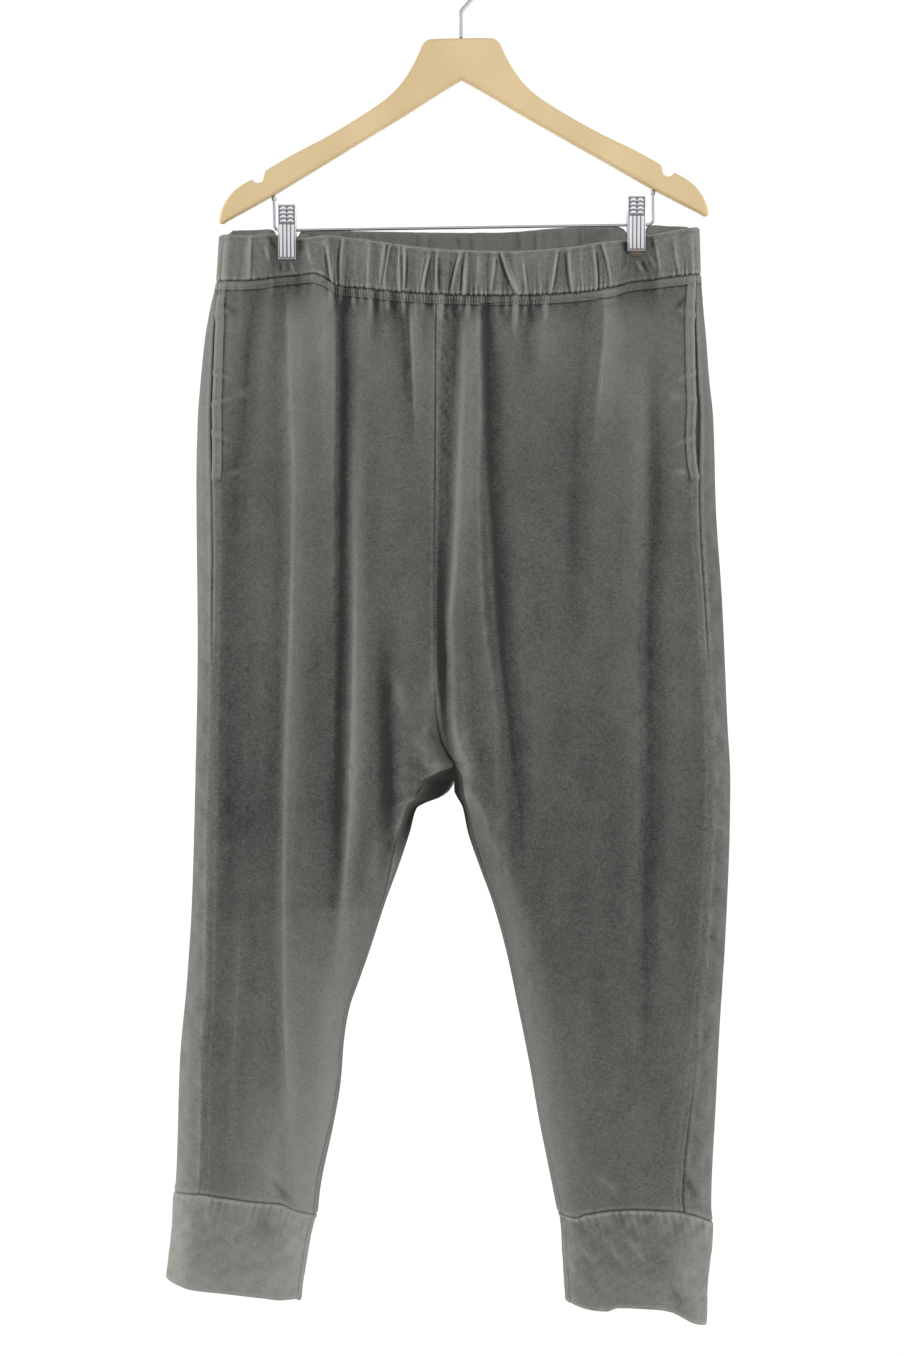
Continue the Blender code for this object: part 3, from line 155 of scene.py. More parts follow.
# Half depth of the hollow garment: at the edges, the swell added mid-front and mid-back, and how
# wide the rounding of the outer edge is.
DEPTHS = table(Depth, (-245, 15, 15, 7, 11), (-300, 19, 13, 8, 13), (-360, 27, 7, 6, 18),
    (-450, 34, 3, 3, 22), (-600, 37, 0, 0, 24), (-740, 37, 0, 0, 26), (-860, 35, 0, 0, 27),
    (-1000, 31, 0, 0, 28), (-1120, 27, 0, 0, 29), (-1240, 25, 0, 0, 29))
SWELL_REACH = 165.0  # the swell ends this far from the middle
INNER_ROUND = {
    "right": table(Height, (-735, 26), (-900, 28), (-1240, 29)),
    "left": table(Height, (-735, 14), (-850, 26), (-1240, 29)),
}

# Where the clips pinch the cloth together: strength and half width by height.
PINCH_STRENGTH = table(Height, (-282, 1), (-300, 0.8), (-335, 0.4), (-400, 0.1), (-450, 0))
PINCH_WIDTH = table(Height, (-282, 13), (-340, 24))

# Lines across the body: x and height on the front and on the back.
RIM_FRONT = table(Height, (-217, -256.5), (-190, -257.5), (-172, -255), (-156, -257), (-140, -259),
    (-118, -258), (-98, -260.5), (-73, -264.5), (-41, -269.8), (-8, -273), (41, -274), (76, -271.5),
    (100, -269), (133, -263), (150, -260), (160, -257), (183, -254.5), (200, -252), (217, -249.5))
RIM_BACK = table(Height, (-217, -256.5), (-205, -249), (-176, -248.5), (-168, -250), (-164, -256.5),
    (-147, -256.5), (-143, -250), (-136, -248.5), (-60, -249.5), (30, -250), (100, -246), (140, -245.5),
    (149, -249), (153, -254), (167, -254), (170, -247), (179, -245), (205, -245.5), (217, -249.5))
SEAM_FRONT = table(Height, (-222, -298.5), (-202, -299.5), (-178, -297), (-162, -294), (-144, -292.5),
    (-134, -292.3), (-124, -295), (-116, -300.5), (-110, -304.5), (-97, -306), (-49, -311.5), (8, -314.5),
    (50, -314.3), (100, -311), (122, -308), (138, -304.5), (158, -298.5), (183, -296.5), (208, -294),
    (219, -292))
SEAM_BACK = table(Height, (-222, -298.5), (-150, -296), (0, -297), (150, -293), (219, -292))
CUFF_FRONT = {
    "right": table(Height, (-259, -1118.6), (-236, -1118.5), (-214, -1121.5), (-187, -1125), (-161, -1127),
        (-148, -1132.5), (-139, -1136), (-129, -1140)),
    "left": table(Height, (90, -1137.8), (97, -1140), (104, -1140.5), (114, -1136.5), (154, -1132.3),
        (194, -1134), (208, -1137), (220, -1141.5), (229, -1147)),
}
CUFF_BACK = {
    "right": table(Height, (-259, -1118.6), (-195, -1126), (-129, -1140)),
    "left": table(Height, (90, -1137.8), (160, -1136), (229, -1147)),
}
HEM_FRONT = {
    "right": table(Height, (-266, -1197), (-254, -1201), (-242, -1204.5), (-208, -1208.6), (-161, -1213.8),
        (-148, -1215), (-142, -1218)),
    "left": table(Height, (95, -1218), (119, -1223), (132, -1224), (142, -1221), (177, -1222.5),
        (189, -1224.5), (200, -1229.5), (210, -1235), (224, -1240)),
}
HEM_BACK = {
    "right": table(Height, (-266, -1197), (-205, -1212), (-142, -1218)),
    "left": table(Height, (95, -1218), (160, -1226), (224, -1240)),
}

# Folds of the front, each a soft ridge (height above 0) or valley down the cloth.
FRONT_FOLDS = table(
    Fold,
    ("outer valley", (-300, -393, -473, -590, -760, -930), (-184, -192, -200, -206, -207, -207),
     (-4, -6, -5.5, -4, -3, 0), 13, 22),
    ("thigh ridge", (-300, -327, -420, -550, -760, -912, -1040, -1118),
     (-158, -156, -152, -151, -155, -159, -154, -152), (1, 3, 4, 4, 3.5, 3, 2.5, 2), 8, 20),
    ("clip bulge", (-300, -330, -420, -520), (-126, -125, -124, -122), (5, 6, 4, 0), 24, 11),
    ("step crease", (-300, -350, -404, -600, -857, -930), (-104, -106, -105.5, -106.5, -113, -118),
     (-2, -3.2, -4.5, -2.6, -0.4, 0), 5, 9),
    ("inner ridge", (-400, -550, -700, -857, -930), (-95, -94.5, -96, -103, -107), (0, 2.6, 3.2, 1.6, 0), 6,
     10),
    ("rise valley", (-560, -622, -694, -794, -850), (-70, -69, -66, -64, -66), (0, -2, -4.5, -6, 0), 10, 10),
    ("centre channel", (-520, -600, -640, -700, -735), (-14.5, -15, -14, -12, -5), (0, -3, -6, -6, 0), 6, 5),
    ("middle fold, right edge", (-320, -352, -425, -496, -570, -626, -672, -729, -790),
     (6, 4.3, 0.5, 0.5, -4.5, -8, -8, 2.5, 12), (0, 2.5, 4.2, 4.2, 3.8, 2.6, 2.4, 3, 0), 6, 17),
    ("middle fold, left edge", (-320, -344, -506, -597, -654, -718, -780, -900),
     (19, 18.4, 15.7, 18.4, 27.4, 31, 36.5, 51), (0, 0.8, 1.8, 1.8, 1.6, 1.6, 1.8, 0), 16, 6),
    ("beside the middle fold", (-320, -400, -550, -622, -694, -766, -860), (23, 25, 33, 38.5, 46, 55, 62),
     (-2, -4, -4.5, -4, -2.8, -1.4, 0), 5, 16),
    ("hip ridge", (-316, -420, -549, -596, -688, -800), (137, 152, 166, 166, 160.5, 158),
     (1.2, 1, 0.6, 0.6, 0.5, 0), 24, 14),
    ("hip valley", (-340, -387, -513, -600, -948, -1040), (177, 177, 177, 174, 171, 173),
     (0, -3.2, -4.4, -4.2, -2.4, 0), 9, 15),
)
# Folds of the back, of the same kinds.
BACK_FOLDS = table(
    Fold,
    ("right outer ridge", (-300, -420, -700, -1100), (-178, -184, -190, -200), (2, 5, 4, 1), 12, 16),
    ("right valley", (-300, -420, -700, -930), (-140, -146, -150, -160), (-4, -7, -5, 0), 11, 11),
    ("right seat ridge", (-300, -430, -640, -800), (-98, -100, -104, -112), (3, 6, 5, 0), 12, 14),
    ("right inner valley", (-300, -430, -640, -760), (-58, -60, -62, -66), (-3, -5, -5, 0), 12, 12),
    ("centre seat fold", (-310, -480, -660, -720), (-14, -16, -20, -22), (2, 5, 6, 0), 12, 9),
    ("left inner valley", (-300, -430, -640, -780), (22, 24, 26, 34), (-3, -6, -6, 0), 10, 12),
    ("left seat ridge", (-300, -430, -640, -860), (64, 62, 66, 80), (3, 6, 6, 0), 14, 12),
    ("left valley", (-300, -420, -700, -960), (112, 116, 118, 126), (-3, -6, -6, 0), 12, 12),
    ("left outer ridge", (-300, -420, -700, -1090), (160, 166, 172, 178), (2, 6, 5, 1), 14, 12),
)
# Short gathers under the waist seam, either side of the centre.
LITTLE_FOLDS = 9
LITTLE_FOLD_FIRST_X = -82.0
LITTLE_FOLD_PITCH = 16.5
LITTLE_FOLD_HEIGHT = 2.2
LITTLE_FOLD_WIDTH = 5.0
LITTLE_FOLD_FOOT_Z = -385.0

# Gathers of the waistband's front: x at the rim, x at the seam, height.
FRONT_GATHERS = table(Gather, (-209.5, -213, 1.4), (-188.5, -189.4, 2.6), (-174, -168.6, 1.4),
    (-152.5, -152, 1), (-140, -143, 0.8), (-120.4, -114.7, 3), (-104, -106.5, 2.4), (-92, -93, 0.6),
    (-80.4, -80.8, 0.8), (-66.3, -71.6, 2.4), (-62.6, -69, 1.8), (-53.5, -52.5, 2.2), (-49.5, -50.5, 2.4),
    (-37, -38.5, 0.5), (-25.5, -34, 2.4), (-19.8, -20.2, 2.6), (-9.5, -12.5, 0.6), (1.8, -8, 2),
    (6.2, 3.8, 2.4), (17, 16, 0.6), (31.4, 26.7, 1.8), (36.5, 52.5, 2.8), (55, 60, 1.6), (71, 72, 0.6),
    (87.5, 81, 2.4), (97.7, 101.5, 2.2), (109, 110.5, 0.8), (120, 123, 2.4), (128, 137, 2.2),
    (143.5, 146, 1), (162.6, 166, 1.4), (175.3, 182, 2.4), (192.8, 198.4, 1.6), (208.5, 210.5, 0.8))
BACK_GATHERS = 31
BACK_GATHER_PITCH = 13.6
GATHER_FOOT = 0.36  # the foot of a gather, as a share of the way to the next one
GATHER_SINK = 0.35  # how far the foot lies in, as a share of the gather's height

# ---- finer form than the solids have ----
# Crisp edges along the main folds, of the same kind as the folds but pointed.
FRONT_CREASES = table(
    Fold,
    ("thigh ridge, crisp edge", (-305, -341, -405, -477, -550, -622, -694, -857, -948, -1110),
     (-157, -155, -152, -149.5, -150.5, -152.7, -156, -158.6, -157.7, -151),
     (0, 0.9, 0.9, 1.1, 1.2, 1.2, 1, 0.9, 0.8, 0), 3, 12),
    ("ledge under the clip", (-301, -320, -405, -477, -560, -640),
     (-115.5, -113.5, -113.5, -115, -115.5, -116), (0, 0.9, 0.8, 0.5, 0.2, 0), 26, 1.6),
    ("inner ridge, crisp edge", (-480, -560, -640, -767, -857, -930), (-96, -94, -95, -98, -106, -112),
     (0, 1, 1.8, 1.8, 1, 0), 5, 12),
    ("under the gathers", (-309, -341, -405, -490), (-45, -43.8, -41, -38), (0, 2, 1.4, 0), 2, 10),
    ("hollow before the gathers", (-309, -330, -365, -420), (-53, -52, -50, -48), (0, -2.4, -1.6, 0), 12, 4),
    ("fold right of the gathers", (-309, -341, -380), (-91, -90, -90), (0, 1.4, 0), 7, 12),
    ("middle fold, crisp right edge", (-318, -405, -477, -550, -622, -700, -760),
     (5, 3, -1.2, -4.4, -10.5, -9, 4), (0, 1.4, 1.4, 1.4, 0.8, 0.6, 0), 3, 9),
    ("middle fold, crisp left edge", (-312, -341, -405, -477, -550, -622, -694, -767, -830),
     (19.5, 19.5, 20.5, 18, 20, 25, 35, 41, 50), (0, 1.4, 1.6, 1.2, 0.8, 0.8, 0.7, 0.6, 0), 9, 2),
    ("short gather", (-309, -318, -346), (63, 64.5, 65), (0, -1.8, 0), 2.2, 5),
    ("hip edge", (-304, -341, -405, -470), (134, 133, 127, 121), (0, 1.8, 1.6, 0), 2.4, 18),
    ("hip ridge, crisp edge", (-420, -477, -550, -622, -694, -790), (164, 164.5, 164.5, 161, 158, 155),
     (0, 0.4, 0.3, 0.3, 0.2, 0), 14, 2.4),
    ("right shin line", (-820, -930, -1040, -1110), (-196, -201, -206, -208), (0, 1.4, 1.4, 0), 5, 14),
)
# Painted light and shade: paler on one side of a fold's edge and darker on the other, also pointed:
# these heights are shades, not millimetres.
FRONT_SHADES = table(
    Fold,
    ("thigh ridge", (-308, -341, -405, -477, -550, -622, -694, -767, -857, -948, -1038, -1115),
     (-157.5, -156, -153, -150.5, -151.5, -153.7, -157, -158.2, -159.6, -158.7, -153.3, -150),
     (0.1, 0.34, 0.14, 0.24, 0.22, 0.18, 0.16, 0.14, 0.16, 0.2, 0.2, 0.2), 0.8, 20),
    ("before the thigh ridge", (-308, -341, -380), (-161, -161.5, -160), (-0.16, -0.24, 0), 6, 2.5),
    ("right hip, dark line", (-302, -330, -360, -400), (-185, -189, -193, -194), (-0.06, -0.2, -0.3, 0), 7,
     3),
    ("ledge under the clip", (-302, -341, -405, -477, -550, -620),
     (-113.5, -111.5, -111.5, -113, -113, -113), (-0.3, -0.34, -0.26, -0.22, -0.12, 0), 0.8, 9),
    ("inner ridge", (-500, -550, -622, -694, -767, -857, -930), (-96, -94.3, -95.5, -96.7, -98, -107, -113),
     (0, 0.06, 0.18, 0.24, 0.24, 0.3, 0), 2.2, 15),
    ("before the inner ridge", (-560, -622, -694, -767, -830), (-112, -113, -111, -112, -116),
     (-0.04, -0.24, -0.2, -0.14, 0), 15, 4),
    ("rise valley", (-600, -694, -767, -820), (-70, -70, -66, -66), (0, -0.2, -0.3, 0), 8, 7),
    ("under the gathers", (-308, -341, -405, -450), (-45, -43.8, -41, -38), (0.24, 0.34, 0.18, 0), 0.8, 7),
    ("before the gathers", (-308, -341, -405, -450), (-46.5, -45.5, -43, -40), (-0.3, -0.4, -0.24, 0), 7,
     0.8),
    ("middle fold, light edge", (-318, -341, -405, -477, -550, -622, -660, -700),
     (6, 5, 3, -1.2, -4.4, -11, -11, -9), (0.1, 0.16, 0.2, 0.2, 0.2, 0.1, 0.04, 0), 1.2, 6),
    ("beside its light edge", (-318, -341, -405, -477, -550, -622, -694, -735),
     (0, -2, -5, -10, -13, -16.5, -15, -6), (-0.24, -0.26, -0.1, -0.04, -0.04, -0.1, -0.14, -0.05), 5, 4),
    ("middle fold, dark edge", (-312, -341, -405, -477, -550, -622, -694, -767, -830),
     (19.3, 19.3, 20, 19, 21, 26, 36, 42, 50), (-0.4, -0.42, -0.34, -0.24, -0.18, -0.16, -0.08, 0, 0), 0.8,
     11),
    ("after the middle fold", (-316, -341, -385), (33, 34, 36), (0.3, 0.34, 0), 3, 8),
    ("left of the middle fold", (-309, -341, -400), (61, 61.5, 62), (-0.2, -0.24, 0), 8, 4),
    ("middle of the left front", (-309, -341, -400), (73, 73.5, 74), (0.16, 0.2, 0), 5, 14),
    ("middle of the right front", (-309, -330, -360), (-76, -75, -74), (-0.2, -0.24, 0), 5, 7),
    ("right of the centre seam", (-309, -335, -370), (-33, -33, -33), (-0.26, -0.3, 0), 3, 3),
    ("short gather", (-308, -320, -345), (66, 66, 67), (-0.1, -0.2, 0), 4, 1),
    ("hip edge", (-306, -341, -405, -450), (133, 132.5, 125, 122), (0.24, 0.34, 0.2, 0), 1, 22),
    ("hip hollow", (-306, -340, -405, -477, -550, -640), (114, 113, 108, 104, 103, 102),
     (-0.1, -0.2, -0.24, -0.26, -0.22, 0), 12, 9),
    ("hip ridge", (-430, -477, -550, -622, -694, -790), (163.5, 164, 164, 160.5, 157.5, 155.5),
     (0, -0.1, -0.08, -0.06, -0.04, 0), 0.8, 13),
    ("between the outer valley and the thigh ridge", (-620, -694, -767, -840), (-188, -188, -188, -188),
     (-0.06, -0.1, -0.2, 0), 20, 18),
    ("inside of the right shin", (-860, -948, -1040, -1140), (-112, -118, -124, -132),
     (0.14, 0.42, 0.44, 0.34), 40, 44),
    ("outside of the right shin", (-990, -1040, -1100, -1140), (-165, -165, -170, -172),
     (0, 0.22, 0.34, 0.3), 20, 14),
    ("inside of the left shin", (-830, -900, -1000, -1080, -1140), (30, 50, 64, 82, 92),
     (0.1, 0.26, 0.3, 0.3, 0.24), 10, 14),
    ("right hip, pale", (-304, -341, -405, -470), (-175, -176, -180, -180), (0.24, 0.28, 0.12, 0), 7, 10),
    ("under the right clip, pale", (-302, -341, -430, -520), (-148, -146, -142, -140), (0.24, 0.24, 0.1, 0),
     8, 20),
    ("left hip, pale", (-302, -341, -405, -470), (170, 172, 178, 180), (0.08, 0.12, 0.1, 0), 30, 20),
)
BACK_CREASES = table(
    Fold,
    ("right seat ridge, crisp", (-330, -470, -640, -760), (-100, -102, -104, -110), (0, 1.6, 1.6, 0), 12,
     2.5),
    ("left seat ridge, crisp", (-330, -470, -640, -820), (66, 64, 67, 76), (0, 1.6, 1.6, 0), 2.5, 12),
    ("left outer, crisp", (-340, -500, -700, -980), (160, 166, 171, 176), (0, 1.4, 1.6, 0), 2.5, 14),
    ("right outer, crisp", (-340, -500, -700, -980), (-178, -184, -190, -196), (0, 1.4, 1.6, 0), 14, 2.5),
)
# Painted light and shade by height: darkest about the knees, lighter towards the waist and the hems.
PAINTED_LIGHT_BY_HEIGHT = table(Height, (-240, 0.9), (-300, 0.8), (-400, 0.5), (-520, 0.15), (-640, -0.15), (-800, -0.45),
    (-900, -0.35), (-1000, 0), (-1128, 0.35), (-1240, 0.8))
SPREAD = 1.0155  # the folds' tables give x as spread on the mid plane, seen from in front
POINT = 0.7  # a pointed fold is round within this of its edge
# Straight short creases in the cloth: ends, height and half width. They fade towards both ends.
Crease = namedtuple("Crease", "x0 z0 x1 z1 height width")
FRONT_SHORT = table(Crease, (-24, -729, -44, -706, 0.7, 4), (-20, -744, -56, -726, -0.6, 4.2),
    (-30, -757, -66, -748, 0.4, 4.5), (-36, -775, -66, -800, 0.7, 5.5), (-12, -722, -30, -700, -0.9, 2.6),
    (-44, -785, -80, -828, -0.7, 6), (-6, -738, 18, -758, -0.6, 4), (2, -752, 26, -796, 0.5, 5),
    (-4, -722, 12, -696, 0.3, 4), (-174, -1098, -134, -1144, -1.1, 4.2), (-182, -1092, -146, -1110, 0.9, 5),
    (118, -1098, 150, -1122, 0.8, 5), (196, -1092, 214, -1128, -0.8, 4), (-222, -476, -206, -484, -0.7, 2.4),
    (-212, -474, -190, -470, 0.9, 3), (-214, -318, -196, -332, -1, 3), (214, -476, 198, -484, -0.7, 2.4),
    (208, -474, 188, -470, 0.9, 3), (206, -312, 190, -328, -1, 3), (-205, -405, -184, -398, 0.8, 3.6),
    (203, -410, 184, -400, 0.8, 3.6), (-60, -640, -48, -700, 0.9, 6))
BACK_SHORT = table(Crease, (-16, -742, -56, -722, 1.2, 3.4), (-22, -752, -70, -744, -1.1, 3.4),
    (6, -742, 44, -720, 1.2, 3.4), (8, -755, 50, -750, -1.1, 3.4), (-38, -774, -84, -812, 1.1, 4),
    (14, -776, 50, -816, 1.1, 4), (-180, -1100, -150, -1126, -1.2, 4), (120, -1100, 152, -1126, -1.2, 4),
    (-6, -700, -20, -640, 0.9, 4))
# Lines of gathers under the waist seam: first x, last x, pitch, height, and how far down they run.
Run = namedtuple("Run", "first last pitch height length")
UNDER_GATHERS = {
    "front": table(Run, (-113, 80, 8.2, 2.2, 32), (-205, -120, 9.5, 0.7, 26), (78, 205, 10.5, 0.5, 24)),
    "back": table(Run, (-200, 200, 8.4, 1.5, 34)),
}
WELT_PUCKERS = {"right": (-383, -412, -437, -330), "left": (-383, -408, -441, -331)}
WELT_SHADE = 0.36  # the turned edge is paler along its fold and stitching: partly wear, partly painted highlight
SIDE_SHADE = 0.3  # the side seam is darker
WELT_PUCKER = (1.7, 3.2)  # height and half width
UNDER_SHADE = 0.38  # painted shade in the creases between the gathers, and how far down it reaches
UNDER_REACH = 9.0
CRUMPLE_SHADE = 0.12  # painted light and shade of crumpled cloth beside the centre-front seam
CRUMPLE_X = -13.0
SEAM_GROOVE = (1.1, 1.1)  # depth and half width of the groove at a seam
TOPSTITCH = {"waist": (1.3, 6.3), "centre": 2.4, "pocket": 7.0, "inseam": 2.2}
STITCH_SINK = (0.28, 0.7)  # depth and half width of the row that a line of stitches pulls in

# Heights of the fine rows: top, foot and spacing of each run.
RowRun = namedtuple("RowRun", "top foot step")
ROW_RUNS = table(RowRun, (-300, -310, 0.77), (-310, -480, 2.2), (-480, -700, 4.2), (-700, -735, 1.75),
    (-735, -750, 1.25), (-750, -774, 1.3), (-774, -800, 2), (-800, -1090, 4.6), (-1090, -1128, 1.9))
NEAR_STEPS = (0.0, 0.5, 1.1, 1.9, 2.9, 4.1, 5.3, 6.3, 7.0, 7.6, 8.2, 8.8)
FRONT_MIDDLE = 114  # columns between the pocket's strip and the middle
BACK_MIDDLE = 84
WRAP_COLUMNS = 16
GUSSET_COLUMNS = 12
END_REACH = 6.0  # the last columns crowd together within this of the seam
END_COLUMNS = 10

SIDES = ("right", "left")
SIGN = {"right": -1.0, "left": 1.0}
SEEDS = {"front": 11, "back": 23, "band": 37, "cuff": 41}
# What differs between the faces: which way is out in y, the heights where the middle starts to
# draw back and has done so, and their tables.
Face = namedtuple("Face", "out recess_top recess_foot centre rim waist cuff folds creases shorts")
FACE = {
    "front": Face(-1.0, -640.0, CROTCH_Z, CENTRE_FRONT, RIM_FRONT, SEAM_FRONT, CUFF_FRONT, FRONT_FOLDS,
                  FRONT_CREASES, FRONT_SHORT),
    "back": Face(1.0, -665.0, SEAT_Z, CENTRE_BACK, RIM_BACK, SEAM_BACK, CUFF_BACK, BACK_FOLDS,
                 BACK_CREASES, BACK_SHORT),
}


# ---- curves ----
def smooth(at, knots, values):
    """Cubic through the knots that never overshoots them.

    The slope at a knot is the harmonic mean of the slopes beside it, and nought at a turn.
    """
    order = np.argsort(knots)
    knots = np.asarray(knots, float)[order]
    values = np.asarray(values, float)[order]
    step = np.diff(knots)
    slope = np.diff(values) / step
    product = slope[:-1] * slope[1:]
    total = slope[:-1] + slope[1:]
    turn = product <= 0
    middle = np.where(turn, 0.0, 2.0 * product / np.where(turn, 1.0, total))
    tangent = np.concatenate([slope[:1], middle, slope[-1:]])
    at = np.asarray(at, float)
    i = np.clip(np.searchsorted(knots, at) - 1, 0, len(step) - 1)
    t = np.clip((at - knots[i]) / step[i], 0.0, 1.0)
    keep = (1.0 + 2.0 * t) * (1.0 - t) ** 2
    lead = t * (1.0 - t) ** 2 * step[i]
    trail = t * t * (t - 1.0) * step[i]
    return (keep * values[i] + (1.0 - keep) * values[i + 1] + lead * tangent[i]
            + trail * tangent[i + 1])


def column(rows, name, at):
    """A named column of a table, read smoothly at the given heights (or x)."""
    return smooth(at, [row[0] for row in rows], [getattr(row, name) for row in rows])


def value(rows, at):
    """The value column of a table of heights."""
    return column(rows, "value", at)


def ease(t):
    """0 to 1 with flat ends."""
    t = np.clip(t, 0.0, 1.0)
    return t * t * (3.0 - 2.0 * t)


def rounding(distance, radius):
    """Quarter ellipse: 0 at the edge, 1 from one radius inwards."""
    t = 1.0 - np.clip(distance / radius, 0.0, 1.0)
    return np.sqrt(np.clip(1.0 - t * t, 0.0, 1.0))


def bell(offset, width):
    """A smooth bump: 1 at no offset, fading as a Gaussian of the width."""
    return np.exp(-(offset / width) ** 2)


def sharp_bell(offset, low, high):
    """1 at no offset, falling off as exp(-distance / width), with its own width on each side."""
    return np.exp(-np.abs(offset) / np.where(offset < 0.0, low, high))


def unit(vectors):
    """The same directions with length 1."""
    return vectors / np.linalg.norm(vectors, axis=-1, keepdims=True)


def full_turn(count):
    """Angles of evenly spaced points round a circle."""
    return np.arange(count) * 2.0 * math.pi / count


# ---- the hanging cloth ----
def fold_height(folds, x, z, pointed=False):
    """Sum of the folds at (x, z): each a bell across, as high as its table says down its length.

    Pointed ones fall off as exp(-distance / width) instead, and so keep a crisp edge. Above the
    waist seam they go on into the waistband and fade.
    """
    fade = 1.0 - BAND_FOLD_FADE * ease((z - WAIST_SEAM_Z) / BAND_HEIGHT)
    z = np.minimum(z, WAIST_SEAM_Z)
    total = 0.0
    for fold in folds:
        offset = x - smooth(z, fold.z, fold.x)
        width = np.where(offset < 0, fold.low_side, fold.high_side)
        if pointed:
            across = np.exp(-(np.sqrt(offset ** 2 + POINT ** 2) - POINT) / width)
        else:
            across = bell(offset, width)
        total = total + np.where(z <= max(fold.z), smooth(z, fold.z, fold.height), 0.0) * across
    return fade * total


def little_folds(x, z):
    """Short gathers that run out below the waist seam."""
    fade = ease((z - LITTLE_FOLD_FOOT_Z) / (WAIST_SEAM_Z - LITTLE_FOLD_FOOT_Z))
    places = LITTLE_FOLD_FIRST_X + LITTLE_FOLD_PITCH * np.arange(LITTLE_FOLDS)
    return fade * LITTLE_FOLD_HEIGHT * sum(bell(x - place, LITTLE_FOLD_WIDTH) for place in places)


def pinch(x, z):
    """1 where a clip holds front and back together, fading sideways and down."""
    spread = value(PINCH_WIDTH, z)
    near = sum(bell(np.maximum(np.abs(x - centre) - CLIP_FLAT, 0.0), spread) for centre in CLIP_X)
    return np.minimum(near, 1.0) * value(PINCH_STRENGTH, z)


def depth(x, z, edge_distance, face):
    """Distance of the cloth from the mid plane, with the outer rounding and the clips' pinch."""
    swell = np.cos(0.5 * np.pi * np.clip(np.abs(x) / SWELL_REACH, 0.0, 1.0)) ** 2
    full = column(DEPTHS, "edge", z) + swell * column(DEPTHS, face + "_swell", z)
    full = full + fold_height(FACE[face].folds, SPREAD * x, z)
    full = full + fold_height(FACE[face].creases, SPREAD * x, z, pointed=True)
    if face == "front":
        full = full + little_folds(x, z)
    full = full * rounding(edge_distance, column(DEPTHS, "round_x", z))
    held = pinch(x, z)
    return full * (1.0 - held) + np.minimum(full, PINCH_DEPTH) * held


def inner_x(side, z, face="front"):
    """x of a leg's inner fold, which is the face's centre seam above the crotch."""
    fold_x = column(INNER[side], "x", z)
    return np.where(z > FACE[face].recess_foot, value(FACE[face].centre, z), fold_x)


def face_y(side, face, x, z, edge_distance, fold_x):
    """y of the cloth: full depth, drawn back to the leg's inner fold from above the crotch down."""
    full = FACE[face].out * depth(x, z, edge_distance, face)
    top, foot = FACE[face].recess_top, FACE[face].recess_foot
    drawn = ease((top - z) / (top - foot))
    round_x = value(INNER_ROUND["right" if face == "back" else side], z)
    away = 1.0 - rounding(np.abs(x - fold_x), round_x)
    fold_y = column(INNER[side], "y", np.minimum(z, foot))
    return full + (fold_y - full) * drawn * away


def waves(x, z, seed, count, longest, shortest, upright):
    """Sum of `count` sine waves with seeded directions, between the two wavelengths.

    upright stretches them along z, so that they read as hanging cloth. About -1 to 1.
    """
    random = np.random.default_rng(seed)
    total = 0.0
    for wavelength in np.geomspace(longest, shortest, count):
        angle, phase = random.uniform(0.0, 2.0 * math.pi, 2)
        along = x * math.cos(angle) + z * math.sin(angle) / upright
        total = total + np.sin(2.0 * math.pi * along / wavelength + phase)
    return total / math.sqrt(count)


def short_creases(creases, x, z):
    """Creases along straight lines: a bell across, and a sine hump along the line."""
    total = 0.0
    for crease in creases:
        run = np.array([crease.x1 - crease.x0, crease.z1 - crease.z0])
        length = np.hypot(*run)
        run = run / length
        along = ((x - crease.x0) * run[0] + (z - crease.z0) * run[1]) / length
        across = (z - crease.z0) * run[0] - (x - crease.x0) * run[1]
        hump = np.sin(math.pi * np.clip(along, 0.0, 1.0)) ** 2
        total = total + crease.height * hump * bell(across, crease.width * (0.7 + 0.6 * along))
    return total


def under_gathers(face, x, below):
    """Gathers that run out under the waist seam: bells at jittered places, each of its own length."""
    total = 0.0
    random = np.random.default_rng(SEEDS[face])
    for run in UNDER_GATHERS[face]:
        for middle in np.arange(run.first, run.last, run.pitch):
            place, size, length, lean = random.uniform(-1.0, 1.0, 4)
            middle = middle + 0.3 * run.pitch * place + 0.03 * lean * below
            fade = ease(1.0 - below / (run.length * (1.0 + 0.45 * length)))
            height = run.height * (0.9 + 0.5 * size)
            total = total + height * bell(x - middle, 0.27 * run.pitch) * fade
    return total


def seam_groove(distance):
    """The cloth dips towards a seam."""
    return -SEAM_GROOVE[0] * bell(distance, SEAM_GROOVE[1])


def stitch_row(distance):
    """The shallow line that a row of stitches pulls in."""
    return -STITCH_SINK[0] * bell(distance, STITCH_SINK[1])


def panel_rows():
    """Heights of all fine rows, from the waist seam down to the cuffs' seams."""
    runs = [np.linspace(run.top, run.foot, round((run.top - run.foot) / run.step), endpoint=False)
            for run in ROW_RUNS]
    return np.concatenate(runs + [np.array([CUFF_ROW_Z])])


ROWS = panel_rows()


def row_at(z):
    """Number of the row nearest to a height."""
    return int(np.argmin(np.abs(ROWS - z)))


def rows_between(top, foot):
    """The rows from one height down to another."""
    return slice(row_at(top), row_at(foot) + 1)


CROTCH_ROW = row_at(CROTCH_Z)
SEAT_ROW = row_at(SEAT_Z)
ROW = ROWS[:, None]
BELOW = WAIST_SEAM_Z - ROW
CUFF_DIP = 1.2 * seam_groove(ROW - CUFF_ROW_Z)
INSEAM_SHOW = 1.0 - 0.9 * ease((INSEAM_FADE_Z - ROW) / 90.0)
END_DISTANCES = END_REACH * (np.arange(END_COLUMNS, -1, -1) / END_COLUMNS) ** 2


